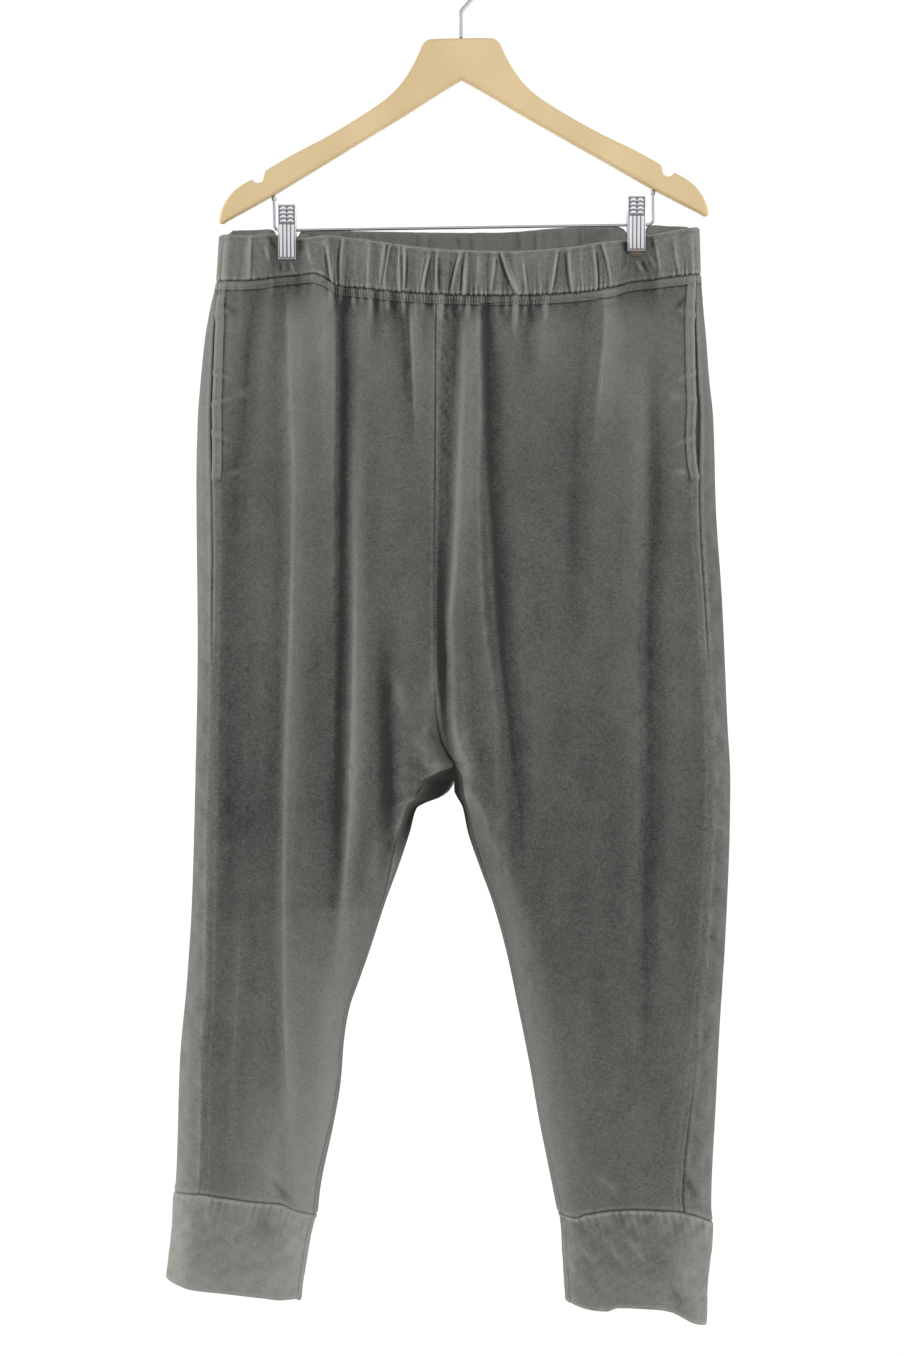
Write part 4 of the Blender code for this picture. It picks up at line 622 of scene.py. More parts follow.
def bent_z(side, x, row_z, face):
    """Height of a row at x: rows near the waist or the cuff follow the seam there."""
    near_waist = ease((row_z - WAIST_FADE_Z) / (WAIST_SEAM_Z - SEAM_STRIP - WAIST_FADE_Z))
    near_cuff = ease((CUFF_ROW_Z + CUFF_FADE - row_z) / CUFF_FADE)
    to_waist = value(FACE[face].waist, x) - WAIST_SEAM_Z
    to_cuff = value(FACE[face].cuff[side], x) - CUFF_ROW_Z
    return row_z + near_waist * to_waist + near_cuff * to_cuff


def grid_points(x, y, z):
    """Stack three arrays into points."""
    return np.stack(np.broadcast_arrays(x, y, z), axis=-1)


def edges_of_rows(side, face):
    """x of the outer edge and of the inner fold for every row, at the heights the rows have there."""
    outer = value(OUTER[side], ROWS)
    outer = value(OUTER[side], bent_z(side, outer, ROWS, face))
    inner = inner_x(side, bent_z(side, inner_x(side, ROWS), ROWS, face), face)
    return outer[:, None], inner[:, None]


def strip_mask(face, x, reach=0.6):
    """1 where the elastic gathers the cloth finely, less at the smooth hips of the front, down to
    `reach` below the topstitched strip."""
    gathered = 0.8 if face == "back" else 0.3 + 0.7 * ease((130.0 - np.abs(x + 22.0)) / 50.0)
    return gathered * ease((SEAM_STRIP + reach - BELOW) / 1.2)


def strip_relief(edge_distance):
    """The topstitched strip under the waist seam: it stands proud with a soft lower edge, between the
    seam's groove and a dip, and two stitched rows sink into it."""
    soft = rounding(edge_distance, STRIP_ROUND)
    total = SEAM_RISE * ease((SEAM_STRIP + SEAM_STEP - BELOW) / SEAM_STEP)
    for offset in TOPSTITCH["waist"]:
        total = total + 1.4 * stitch_row(BELOW - offset)
    inside = ease((SEAM_STRIP + 0.5 * SEAM_STEP - BELOW) / 1.5)
    total = total - 0.5 * bell(BELOW - SEAM_STRIP - SEAM_STEP, 1.1) * inside
    return total * soft + 1.1 * seam_groove(BELOW + 0.2)


def cloth_relief(face, x, z, edge_distance):
    """What all panels have: small gathers, short creases and a slight unevenness, fading at the edges."""
    seed = SEEDS[face]
    total = under_gathers(face, x, BELOW) + short_creases(FACE[face].shorts, x, z)
    total = total + 0.42 * waves(x, z, seed, 5, 85.0, 30.0, 3.2)
    total = total + 0.10 * waves(x, z, seed + 1, 6, 22.0, 9.0, 1.6)
    return total * rounding(edge_distance, 16.0)


def welt_puckers(side, z, from_edge):
    """Ridges that run across the pocket's turned edge, where the opening sags."""
    height, width = WELT_PUCKER
    total = 0.0
    for k, middle in enumerate(WELT_PUCKERS[side]):
        lean = 0.35 if k % 2 else -0.35
        total = total + height * bell(z - middle - lean * from_edge, width * (0.6 + 0.15 * k))
    return total * bell(from_edge, 13.0)


def hung(side, face, x, outer, inner):
    """Points of a panel from the x of its grid, their distance from the outer edge, and the relief
    that every panel has."""
    z = bent_z(side, x, ROW, face)
    edge_distance = np.abs(x - outer)
    points = grid_points(x, face_y(side, face, x, z, edge_distance, inner), z)
    return points, edge_distance, strip_relief(edge_distance) + cloth_relief(face, x, z, edge_distance)


def front_grid(side):
    """Front panel, rows down and columns from the side seam to the middle.

    Each point's depth is the half depth of the hanging body at that x and height, with the folds
    as bells across it, rounded as a quarter ellipse at the outer edge and at the leg's inner fold.
    """
    outer, inner = edges_of_rows(side, "front")
    sign = SIGN[side]
    slit = value(POCKET_SLIT[side], ROW)
    start = outer - sign * (value(SIDE_SEAM[side], ROW) + slit)
    end = inner + sign * column(INNER[side], "inset", ROW)
    near = start - sign * np.array(NEAR_STEPS)
    share = np.linspace(0.0, 1.0, FRONT_MIDDLE + 1)[1:-1]
    first, last = near[:, -1:], end + sign * END_REACH
    x = np.concatenate([near, first + (last - first) * share, end + sign * END_DISTANCES], axis=1)
    points, _, relief = hung(side, "front", x, outer, inner)
    from_start, from_end = np.abs(x - start), np.abs(x - end)
    pocket_row = from_start - TOPSTITCH["pocket"]
    above = ROW > CROTCH_Z
    sewn_row = from_end - np.where(above, TOPSTITCH["centre"], TOPSTITCH["inseam"])
    welt = SEAM_RISE * ease((SEAM_STRIP + SEAM_STEP - from_start) / SEAM_STEP) + stitch_row(pocket_row)
    welt = welt - 0.5 * bell(from_start - SEAM_STRIP - 1.6, 1.0)
    relief = relief + (welt + welt_puckers(side, points[..., 2], from_start)) * (slit > 0.0)
    relief = relief + seam_groove(from_start) * np.where(slit > 0.5, 0.5, value(SIDE_LINE[side], ROW))
    centre_fade = 1.0 - 0.7 * ease((CENTRE_FADE_Z - ROW) / 90.0) * above
    relief = relief + INSEAM_SHOW * centre_fade * (seam_groove(from_end) + stitch_row(sewn_row)) + CUFF_DIP
    worn = bell(from_start, 1.5) + 0.9 * bell(pocket_row, 1.1)
    worn = worn * np.where(slit > 0.0, 1.0, 0.35) + 0.45 * bell(sewn_row, 1.4) * INSEAM_SHOW
    return points, relief, worn


def wrap_grid(side):
    """The strip of the back panel that comes round to the front, side seam to outer edge."""
    outer, inner = edges_of_rows(side, "front")
    share = np.linspace(1.0, 0.0, WRAP_COLUMNS + 1)
    x = outer - SIGN[side] * value(SIDE_SEAM[side], ROW) * (0.5 * share + 0.5 * share ** 2)
    points, edge_distance, relief = hung(side, "front", x, outer, inner)
    from_seam = np.abs(x - x[:, :1])
    line = seam_groove(from_seam) * value(SIDE_LINE[side], ROW)
    relief = relief + line * rounding(edge_distance, 4.0) + CUFF_DIP
    return points, relief, 0.5 * bell(from_seam - 1.2, 1.6)


def back_grid(side):
    """Back panel, rows down and columns from the outer edge to the middle, as the front is."""
    outer, inner = edges_of_rows(side, "back")
    share = np.linspace(0.0, 1.0, BACK_MIDDLE + 1)[:-1]
    spread = 0.6 * share ** 2 + 0.2 * (1.0 - np.cos(math.pi * share))
    wide = outer + (inner + SIGN[side] * END_REACH - outer) * spread
    x = np.concatenate([wide, inner + SIGN[side] * END_DISTANCES], axis=1)
    points, _, relief = hung(side, "back", x, outer, inner)
    from_end = np.abs(x - inner)
    sewn_row = from_end - TOPSTITCH["centre"]
    seam = ROW > SEAT_Z
    relief = relief * rounding(from_end + 2.0 * seam, 2.0)
    relief = relief + seam * (seam_groove(from_end) + stitch_row(sewn_row)) + CUFF_DIP
    return points, relief, seam * 0.45 * bell(sewn_row, 1.4)


def gusset_grid(side, front):
    """Back cloth that comes under the crotch: each row is a quadratic curve from fold to inseam."""
    rows = ROW[CROTCH_ROW:]
    inseam = front[CROTCH_ROW:, -1:, :]
    fold_x, fold_y = inner_x(side, rows), column(INNER[side], "y", rows)
    fold_z = bent_z(side, fold_x, rows, "front")
    hollow = ease((rows - HOLLOW_FOOT_Z) / 50.0)
    corner_x = fold_x + (inseam[..., 0] - fold_x) * hollow
    corner_y = inseam[..., 1] + (fold_y - inseam[..., 1]) * hollow
    corner = grid_points(corner_x, corner_y, 0.5 * (fold_z + inseam[..., 2]))
    fold = grid_points(fold_x, fold_y, fold_z)
    t = np.linspace(0.0, 1.0, GUSSET_COLUMNS + 1)[None, :, None]
    points = (1.0 - t) ** 2 * fold + 2.0 * t * (1.0 - t) * corner + t * t * inseam
    from_seam = np.linalg.norm(points - inseam, axis=-1)
    show = INSEAM_SHOW[CROTCH_ROW:]
    return points, show * seam_groove(from_seam) + CUFF_DIP[CROTCH_ROW:], 0.4 * bell(from_seam, 1.4) * show


def grid_faces(rows, columns, flip=False, ring=False, closed=False):
    """Vertex numbers of a grid's faces. In a ring the last column meets the first, and in a closed
    one the last row meets the first as well."""
    number = np.arange(rows * columns).reshape(rows, columns)
    if ring:
        number = np.concatenate([number, number[:, :1]], axis=1)
    if closed:
        number = np.concatenate([number, number[:1]])
    corners = [number[:-1, :-1], number[:-1, 1:], number[1:, 1:], number[1:, :-1]]
    if flip:
        corners.reverse()
    return np.stack([corner.ravel() for corner in corners], axis=1)


def flat(grid):
    """The points of a grid as one list."""
    return grid.reshape(-1, grid.shape[-1])


def first_of_same(points):
    """Number of the first point at the same place, for every point."""
    _, first, same = np.unique(np.round(points, 4), axis=0, return_index=True, return_inverse=True)
    return first[same.ravel()]


def point_normals(points, faces, same):
    """Outward direction at every point: the mean of the faces round its place."""
    across = points[faces[:, 2]] - points[faces[:, 0]]
    down = points[faces[:, 3]] - points[faces[:, 1]]
    face_normal = np.cross(across, down)
    total = np.zeros_like(points)
    for corner in range(4):
        for axis in range(3):
            total[:, axis] += np.bincount(same[faces[:, corner]], face_normal[:, axis], len(points))
    normal = total[same]
    return normal / np.maximum(np.linalg.norm(normal, axis=1, keepdims=True), 1e-9)


def cut_triangles(faces):
    """Quads cut in two, without the pieces whose corners coincide."""
    cut = np.concatenate([faces[:, [0, 1, 2]], faces[:, [0, 2, 3]]])
    whole = (cut[:, 0] != cut[:, 1]) & (cut[:, 1] != cut[:, 2]) & (cut[:, 2] != cut[:, 0])
    return cut[whole]


def wall(outer, inner, faces):
    """A closed wall: both skins in triangles, and a strip round every edge that only one face has."""
    count = len(outer)
    skin = cut_triangles(faces)
    edges = np.concatenate([skin[:, [0, 1]], skin[:, [1, 2]], skin[:, [2, 0]]])
    key = edges[:, 0].astype(np.int64) * count + edges[:, 1]
    twin = edges[:, 1].astype(np.int64) * count + edges[:, 0]
    free = edges[~np.isin(key, twin)]
    rim = np.concatenate([np.stack([free[:, 1], free[:, 0], free[:, 0] + count], axis=1),
                          np.stack([free[:, 1], free[:, 0] + count, free[:, 1] + count], axis=1)])
    return np.concatenate([outer, inner]), np.concatenate([skin, skin[:, ::-1] + count, rim])


def arc_lengths(points):
    """Distance along each row of a grid from its first column."""
    step = np.linalg.norm(np.diff(points, axis=1), axis=-1)
    return np.concatenate([np.zeros((len(points), 1)), np.cumsum(step, axis=1)], axis=1)


def cloth_uv(grid):
    """The cloth's own map: distance along the row, and height."""
    return flat(np.stack([arc_lengths(grid), grid[..., 2]], axis=-1))


def crest_of(points, normals, reach=2, axes=(0, 1)):
    """How far each point stands out from the mean of its neighbours along the row and the column."""
    total = 0.0
    for axis in axes:
        count = points.shape[axis]
        ahead = np.take(points, np.clip(np.arange(count) + reach, 0, count - 1), axis)
        behind = np.take(points, np.clip(np.arange(count) - reach, 0, None), axis)
        out = np.sum((points - 0.5 * (ahead + behind)) * normals, axis=-1)
        total = total + out / np.sqrt(np.sum((ahead - behind) ** 2, axis=-1) + 1.0)
    return total


# ---- meshes ----
def mesh_object(name, points, faces, finish, layers, uv=None, shift=GARMENT_X, sharp=50.0):
    """Mesh from points in millimetres, with float layers, each per point or one value, and a UV map
    per point."""
    used, numbers = np.unique(faces, return_inverse=True)
    faces = numbers.reshape(faces.shape)
    placed = (points[used] + np.array([shift, 0.0, 0.0])) * MM
    mesh = bpy.data.meshes.new(name)
    mesh.vertices.add(len(placed))
    mesh.vertices.foreach_set("co", placed.ravel())
    mesh.loops.add(faces.size)
    mesh.loops.foreach_set("vertex_index", faces.ravel().astype(np.int32))
    mesh.polygons.add(len(faces))
    starts = np.arange(0, faces.size, faces.shape[1], dtype=np.int32)
    mesh.polygons.foreach_set("loop_start", starts)
    mesh.update(calc_edges=True)
    for key, values in layers.items():
        layer = mesh.attributes.new(key, "FLOAT", "POINT")
        values = np.broadcast_to(np.ravel(values), len(points))[used]
        layer.data.foreach_set("value", values.astype(np.float32))
    if uv is not None:
        corners = (uv[used][faces.ravel()] * MM).astype(np.float32)
        mesh.uv_layers.new(name="cloth").data.foreach_set("uv", corners.ravel())
    mesh.shade_smooth()
    mesh.set_sharp_from_angle(angle=math.radians(sharp))
    mesh.materials.append(finish)
    mesh.validate()
    made = bpy.data.objects.new(name, mesh)
    bpy.context.scene.collection.objects.link(made)
    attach(made, "root")
    return made


def body_grids():
    """All grids of both halves: points, relief and wear, matched where they meet."""
    grids = {}
    for side in SIDES:
        front, wrap, back = front_grid(side), wrap_grid(side), back_grid(side)
        gusset = gusset_grid(side, front[0])
        for part in (0, 1):
            back[part][:, 0] = wrap[part][:, -1]
            back[part][SEAT_ROW:, -1] = gusset[part][SEAT_ROW - CROTCH_ROW:, 0]
        gusset[0][:, -1] = front[0][CROTCH_ROW:, -1]
        grids[side] = {"front": front, "wrap": wrap, "back": back, "gusset": gusset}
    return grids


def joined(entries):
    """Points and faces of several grids, one after another; an entry is a side, a name and points.
    Grids that run the wrong way round are turned to face out."""
    points, faces, start = [], [], 0
    for side, name, grid in entries:
        points.append(flat(grid))
        turned = (side == "right") == (name == "front")
        faces.append(grid_faces(*grid.shape[:2], turned) + start)
        start += len(points[-1])
    return np.concatenate(points), np.concatenate(faces)


def outward(grids):
    """Outward directions for every grid, shared across the seams; the end rows' are level."""
    entries = [(side, name, grid[0]) for side in SIDES for name, grid in grids[side].items()]
    points, faces = joined(entries)
    normals = point_normals(points, faces, first_of_same(points))
    result = {side: {} for side in SIDES}
    start = 0
    for side, name, grid in entries:
        size = grid.shape[0] * grid.shape[1]
        block = normals[start:start + size].reshape(grid.shape)
        block[[0, -1], :, 2] = 0.0
        block[[0, -1]] = unit(block[[0, -1]])
        result[side][name] = block
        start += size
    return result


def shade_of(side, key, grid):
    """Shade layer of a panel, painted light and shade: paler and darker beside the folds' edges, on
    the gathers under the waist seam, on the short creases, the crumpled cloth by the centre seam and
    the pocket's turned edge, and on the strip behind the side seam; the gusset darker under the
    crotch. Also the dark lines of the seams and a paler strip under the waist seam. The back has
    painted light and shade along its own crisp edges."""
    x, z = grid[..., 0], grid[..., 2]
    if key == "gusset":
        # Painted shade: the gusset is darker up under the crotch.
        return -0.2 * ease((z + 860.0) / 90.0)
    past = BELOW - SEAM_STRIP
    total = 0.08 * ease(-past) * ease(BELOW - 0.8) - 0.3 * bell(BELOW, 0.8) - 0.36 * bell(past - 0.9, 0.9)
    # Painted highlight on the gathers under the waist seam, and painted shade in the creases between them.
    gathers = under_gathers("back" if key == "back" else "front", x, BELOW)
    total = total + (0.13 * gathers - 0.1) * ease(past / 1.5) * ease((z - WAIST_SEAM_Z + 45.0) / 40.0)
    between = np.clip(1.0 - 0.9 * gathers, 0.0, 1.0) ** 1.5 * (0.35 + 0.65 * strip_mask(key, x, 40.0))
    total = total - UNDER_SHADE * between * np.exp(-np.maximum(past, 0.0) / UNDER_REACH) * ease(past)
    if key == "back":
        # Painted light and shade along the back's crisp edges.
        return total + 0.1 * fold_height(BACK_CREASES, SPREAD * x, z, pointed=True)
    # Painted light and shade beside the front's fold edges and on its short creases.
    total = total + fold_height(FRONT_SHADES, SPREAD * x, z, pointed=True)
    total = total + 0.14 * short_creases(FRONT_SHORT, x, z)
    opening = ease((ROW - POCKET_FOOT_Z) / 12.0)
    from_edge = np.abs(x - x[:, :1])
    total = total - SIDE_SHADE * bell(from_edge, 1.3) * (1.0 - opening) * value(SIDE_LINE[side], ROW)
    seed = SEEDS["front"]
    if key == "wrap":
        # Painted light and shade on the strip behind the side seam, with seeded spots.
        spots = 0.07 * waves(x, z, seed + 9, 5, 26.0, 7.0, 1.6) * (1.0 - opening)
        return total + (value(SIDE_LIGHT_AND_SHADE[side], ROW) + spots) * ease(from_edge / 2.0)
    # Painted light and shade of crumpled cloth beside the centre-front seam.
    crumple_shade = CRUMPLE_SHADE * waves(x, z, seed + 5, 6, 11.0, 3.4, 1.1) * bell(x - CRUMPLE_X, 8.0)
    # Paler along the pocket's turned edge (partly wear, partly painted highlight), and painted shade in the
    # dip beyond its strip.
    welt = WELT_SHADE * (bell(from_edge - 1.4, 1.2) + 0.7 * bell(from_edge - 6.2, 1.3))
    welt = welt - 0.2 * bell(from_edge - SEAM_STRIP - 1.2, 0.8)
    return total + crumple_shade * ease((z + 520.0) / 60.0) + opening * welt


def panel_piece(name, side, keys, grids, normals, skins, finish):
    """One panel as a closed wall, from its grids joined where they meet."""
    outer, faces = joined([(side, key, skins[side][key]) for key in keys])
    inner, uv = [], []
    layers = {"crest": [], "broad": [], "wear": [], "fade": [], "ribs": [], "shade": []}
    for key in keys:
        grid, _, worn = grids[side][key]
        skin, direction = skins[side][key], normals[side][key]
        inner.append(flat(grid - CLOTH * direction))
        uv.append(cloth_uv(grid))
        values = {"crest": crest_of(skin, direction), "broad": crest_of(skin, direction, reach=8, axes=(1,)),
                  "wear": worn, "fade": value(PAINTED_LIGHT_BY_HEIGHT, grid[..., 2]), "shade": shade_of(side, key, grid),
                  "ribs": 0.0 if key == "gusset" else strip_mask(key, grid[..., 0])}
        for layer, part in layers.items():
            part.append(np.broadcast_to(values[layer], grid.shape[:2]).ravel())
    points, solid = wall(outer, np.concatenate(inner), first_of_same(outer)[faces])
    both = {layer: np.tile(np.concatenate(part), 2) for layer, part in layers.items()}
    made = mesh_object(name, points, solid, finish, both, uv=np.tile(np.concatenate(uv), (2, 1)))
    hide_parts(name)
    return made


# ---- waistband and cuffs ----
BAND_ROWS = 38  # rows from the seam to the rim
BAND_SPLIT = 5  # fine columns between one knot of the gathers and the next
RIM_STEPS = 7  # rows over the folded rim
BAND_INNER_ROWS = 16
BAND_UP = (np.linspace(0.0, 1.0, BAND_ROWS) ** 0.85)[:, None]  # how far up each row lies
BAND_INSIDE = (0.36, 1.1, 0.55)  # inside: shade, gain of the shade outside, and height it is taken from
BEYOND_X = 300.0  # past both ends of the waist
EDGE_STEPS = (0.0, 0.12, 0.5, 1.1, 1.9, 2.8)
EDGE_FOOT = 3.6
GATHER_STRENGTH = table(Height, (0, 0.35), (0.27, 0.9), (0.66, 1), (1, 0.6))
GATHER_SWELL = 0.5  # how much of the solid's swell stays between the crisp crests
GATHER_CREST = (1.1, 0.95)  # extra height and half width of a gather's crisp crest
GATHER_SHADE = 0.3  # painted highlight on the crest, painted shade in the crease
GATHER_CREASE = (-0.8, 1.0, 2.3)  # depth, half width and offset of the crease beside it
SEAM_PUCKERS = (1.15, 4.3, 6.5)  # height, pitch and reach of the puckers above the waist seam
CUFF_ROWS = 44
CUFF_INNER_ROWS = 12
CUFF_PUCKERS = (0.7, 6.2, 7.0)
CUFF_SHADE = {"right": 0.21, "left": 0.0}  # one cuff is paler than the other
Patch = namedtuple("Patch", "x z half_width half_height shade")
# Painted light and shade on the cuffs: paler patches and edges, darker middles and dimples.
CUFF_PATCHES = {
    "right": table(Patch, (-208, -1158, 40, 34, -0.15), (-150, -1165, 12, 45, 0.08),
        (-252, -1160, 12, 60, 0.1), (-203.6, -1157, 2.5, 15, 0.07), (-176, -1146, 12, 9, -0.1),
        (-225, -1140, 9, 8, -0.08), (-240, -1192, 14, 8, 0.08), (-160, -1192, 22, 14, 0.06)),
    "left": table(Patch, (152, -1172, 40, 36, -0.17), (112, -1148, 8, 9, -0.12), (173, -1176, 11, 12, -0.1),
        (208, -1180, 9, 50, 0.16), (97, -1180, 6, 50, 0.1), (136, -1158, 9, 7, 0.07),
        (120, -1206, 12, 10, 0.06), (190, -1160, 5, 30, 0.05)),
}
CUFF_MOTTLE = (0.25, 13.0)  # mottled shade under the seam, and how far it reaches
CUFF_SHORT = {
    "right": table(Crease, (-228, -1130, -222, -1150, 0.9, 3.5), (-176, -1136, -170, -1160, -0.8, 4),
        (-160, -1180, -146, -1150, 0.9, 3.5), (-200, -1165, -186, -1200, -0.6, 6),
        (-246, -1128, -240, -1160, 0.8, 5)),
    "left": table(Crease, (104, -1158, 132, -1196, 0.9, 4), (122, -1146, 160, -1200, 0.9, 4),
        (140, -1142, 178, -1196, 0.8, 3.6), (112, -1180, 128, -1216, -0.9, 4.5),
        (196, -1150, 200, -1215, 0.9, 5), (184, -1190, 204, -1226, -0.9, 4),
        (92, -1160, 108, -1200, 0.7, 3.2)),
}
BAND_SHORT = table(Crease, (-172.5, -254, -165, -272, -1.3, 2.4), (-146, -254, -142.5, -276, -1.3, 2.8),
    (-176, -262, -172, -284, 1.6, 1.6), (-138, -260, -133, -288, 1.6, 1.8),
    (-153, -277, -148, -294, 1.1, 1.6), (-162.5, -277, -161, -293, -0.9, 1.8),
    (148.5, -258, 152.6, -277, -1.2, 2.6), (158.5, -276, 167, -292, 1.5, 1.5),
    (163.5, -274, 170.5, -292, -1.1, 1.6), (172, -254, 176, -274, -1.2, 2.5),
    (152, -279, 148, -294, 0.8, 1.7), (169, -268, 179, -291, 1.2, 1.7), (-156, -279, -154, -292, -0.6, 1.6))


def gather_knots(gathers):
    """x at seam and rim, and height, of the crest and the two feet of every gather."""
    lines = []
    for line in ([gather.seam_x for gather in gathers], [gather.rim_x for gather in gathers]):
        foot = np.concatenate([[EDGE_FOOT], np.diff(line) * GATHER_FOOT, [EDGE_FOOT]])
        lines.append(np.stack([line - foot[:-1], line, line + foot[1:]], axis=1).ravel())
    height = np.array([gather.height for gather in gathers])
    return (*lines, np.stack([-GATHER_SINK * height, height, -GATHER_SINK * height], axis=1).ravel())


def back_gathers():
    """Gathers of the waistband's back, unevenly set and leaning by a rule."""
    place = np.arange(BACK_GATHERS)
    x = BACK_GATHER_PITCH * (place - 0.5 * (BACK_GATHERS - 1)) + 2.0 * np.sin(2.3 * place)
    rows = zip(x + 1.2 * np.sin(1.1 * place), x, 1.9 + 0.9 * np.sin(1.7 * place))
    return [Gather(*row) for row in rows]


def waist_line(grids, face):
    """The panels' top edge on one face: x and height of its points, in order of x."""
    names = ("wrap", "front") if face == "front" else ("back",)
    points = np.concatenate([grids[side][name][0][0] for side in SIDES for name in names])
    points = points[np.argsort(points[:, 0])]
    return points[:, 0], points[:, 2]


def band_lift(gathers, x, up, across, heights, seed):
    """Gathers of the band: a soft swell through crests and feet, a crisp crest with a crease beside
    it, and short puckers above the seam. across is the number of the knot, with its fraction.
    The shade it returns is painted light and shade, paler on the swells, crests and puckers and
    darker in the creases, and holds the dark line along the seam."""
    total = GATHER_SWELL * smooth(across, np.arange(len(heights)), heights) * value(GATHER_STRENGTH, up)
    shade = 0.03 * total
    random = np.random.default_rng(seed)
    extra, crest_width = GATHER_CREST
    crease, crease_width, crease_x = GATHER_CREASE
    for gather in gathers:
        lean, bow, turn, size = random.uniform(-1.0, 1.0, 4)
        side = 1.0 if turn > 0.0 else -1.0
        line = gather.seam_x + (gather.rim_x - gather.seam_x) * up + 1.3 * bow * np.sin(math.pi * up)
        away = x - line
        run = np.sin(math.pi * np.clip(up + 0.12 + 0.1 * size, 0.0, 1.0)) ** 0.5
        strength = min((gather.height / 2.4) ** 1.4, 1.3) * run
        total = total + extra * strength * bell(away, crest_width)
        total = total + crease * strength * bell(away - side * crease_x, crease_width)
        lit = sharp_bell(away, 1.0, 1.0) - sharp_bell(side * away - 1.7, 0.7, 3.6 + 1.6 * size)
        shade = shade + GATHER_SHADE * strength * lit
        if gather.height >= 2.0:
            away = away + side * (4.6 + 1.2 * lean) * (0.5 + 0.5 * up)
            total = total + 0.45 * strength * (0.6 + 0.4 * size) * bell(away, 0.95)
            shade = shade + 0.5 * GATHER_SHADE * strength * sharp_bell(away, 0.9, 2.2)
    height, pitch, reach = SEAM_PUCKERS
    above = up * BAND_HEIGHT
    middles = np.arange(x.min(), x.max(), pitch)
    shifts = random.uniform(-0.35, 0.35, len(middles)) * pitch
    sizes = random.uniform(0.4, 1.3, len(middles))
    for middle, size in zip(middles + shifts, sizes):
        away = x - middle
        run_out = np.exp(-above / (reach * size))
        total = total + height * size * bell(away, 0.24 * pitch) * run_out
        lit = 0.16 * bell(away, 0.22 * pitch) - 0.3 * bell(away - 0.5 * pitch, 0.2 * pitch)
        shade = shade + run_out * lit
    total = total + 0.16 * waves(x, above, seed + 1, 6, 26.0, 7.0, 2.0)
    return total, shade - 0.3 * bell(above, 0.9)


def band_half(grids, face):
    """One face of the waistband, right edge to left edge: points, lift and shade, seam row first."""
    gathers = FRONT_GATHERS if face == "front" else back_gathers()
    seam_x, rim_x, heights = gather_knots(gathers)
    line_x, line_z = waist_line(grids, face)

    def rows_z(x):
        seam_z = np.interp(x, line_x, line_z) + WAIST_GAP
        return seam_z + (value(FACE[face].rim, x) - seam_z) * BAND_UP

    knots = np.arange(len(heights))
    knot = np.linspace(0.0, knots[-1], knots[-1] * BAND_SPLIT + 1)[None, :]
    seam_at, rim_at = np.interp(knot, knots, seam_x), np.interp(knot, knots, rim_x)
    x = seam_at + (rim_at - seam_at) * BAND_UP
    seed = SEEDS["band"] + (face == "back")
    swell, shade = band_lift(gathers, x, BAND_UP, knot, heights, seed)
    z = rows_z(x)
    steps = np.array(EDGE_STEPS)
    edges = []
    for side in SIDES:
        edge_z = rows_z(SIGN[side] * BEYOND_X)
        edge_x = value(OUTER[side], edge_z)
        edges.append((edge_x - SIGN[side] * steps, edge_z + 0.0 * steps, edge_x))
    right, left = edges
    x = np.concatenate([right[0], x, left[0][:, ::-1]], axis=1)
    z = np.concatenate([right[1], z, left[1][:, ::-1]], axis=1)
    held = pinch(x, z)
    still = np.zeros((BAND_ROWS, len(steps)))
    lift = np.concatenate([still, swell, still], axis=1) * (1.0 - held)
    # The gathers' painted light and shade fades where the clips pinch the band flat.
    shade = np.concatenate([still, shade, still], axis=1) * (1.0 - 0.6 * held)
    if face == "front":
        near_clips = short_creases(BAND_SHORT, x, z)
        lift = lift + near_clips
        # Painted shade where the clips pinch, and painted light and shade on the creases beside them.
        shade = shade + 0.1 * near_clips - 0.1 * held
    edge = np.minimum(np.abs(x - right[2]), np.abs(x - left[2]))
    y = FACE[face].out * depth(x, z, edge, face)
    return grid_points(x, y, z), lift * rounding(edge, 5.0), shade


def level_normals(grid):
    """Level outward directions of a ring that runs anticlockwise seen from above."""
    along = np.roll(grid, -2, axis=1) - np.roll(grid, 2, axis=1)
    return unit(grid_points(along[..., 1], -along[..., 0], 0.0))


def doubled_wall(base, lift, normals, thick, turn_up, inner_rows):
    """Rows of a folded wall: the outer skin, half a circle over the folded edge, and the inner skin
    back down. turn_up is +1 where the fold is the top edge and -1 where it is the bottom one."""
    rim = base[-1] + (lift[-1][:, None] - 0.5 * thick) * normals[-1]
    rim = rim - np.array([0.0, 0.0, 0.5 * thick * turn_up])
    angles = np.linspace(0.0, math.pi, RIM_STEPS)[:, None, None]
    over = rim + 0.5 * thick * (np.cos(angles) * normals[-1] + np.sin(angles) * np.array([0.0, 0.0, turn_up]))
    keep = (base[..., 2] * turn_up) < (base[-1, :, 2] - 0.5 * thick * turn_up) * turn_up
    outer = base + lift[..., None] * normals
    outer[..., 2] = np.where(keep, outer[..., 2], base[-1, :, 2] - 0.5 * thick * turn_up)
    pick = np.linspace(len(base) - 2, 0, inner_rows).astype(int)
    inner = outer[pick] - thick * normals[pick]
    return np.concatenate([outer[:-1], over, inner])


def ring_piece(name, node, rows, flip, layers, finish):
    """A ring of doubled cloth as one mesh, its last row joined to its first inside the wall."""
    faces = grid_faces(*rows.shape[:2], flip, ring=True, closed=True)
    made = mesh_object(name, flat(rows), cut_triangles(faces), finish, layers, uv=cloth_uv(rows))
    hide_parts(node)
    return made


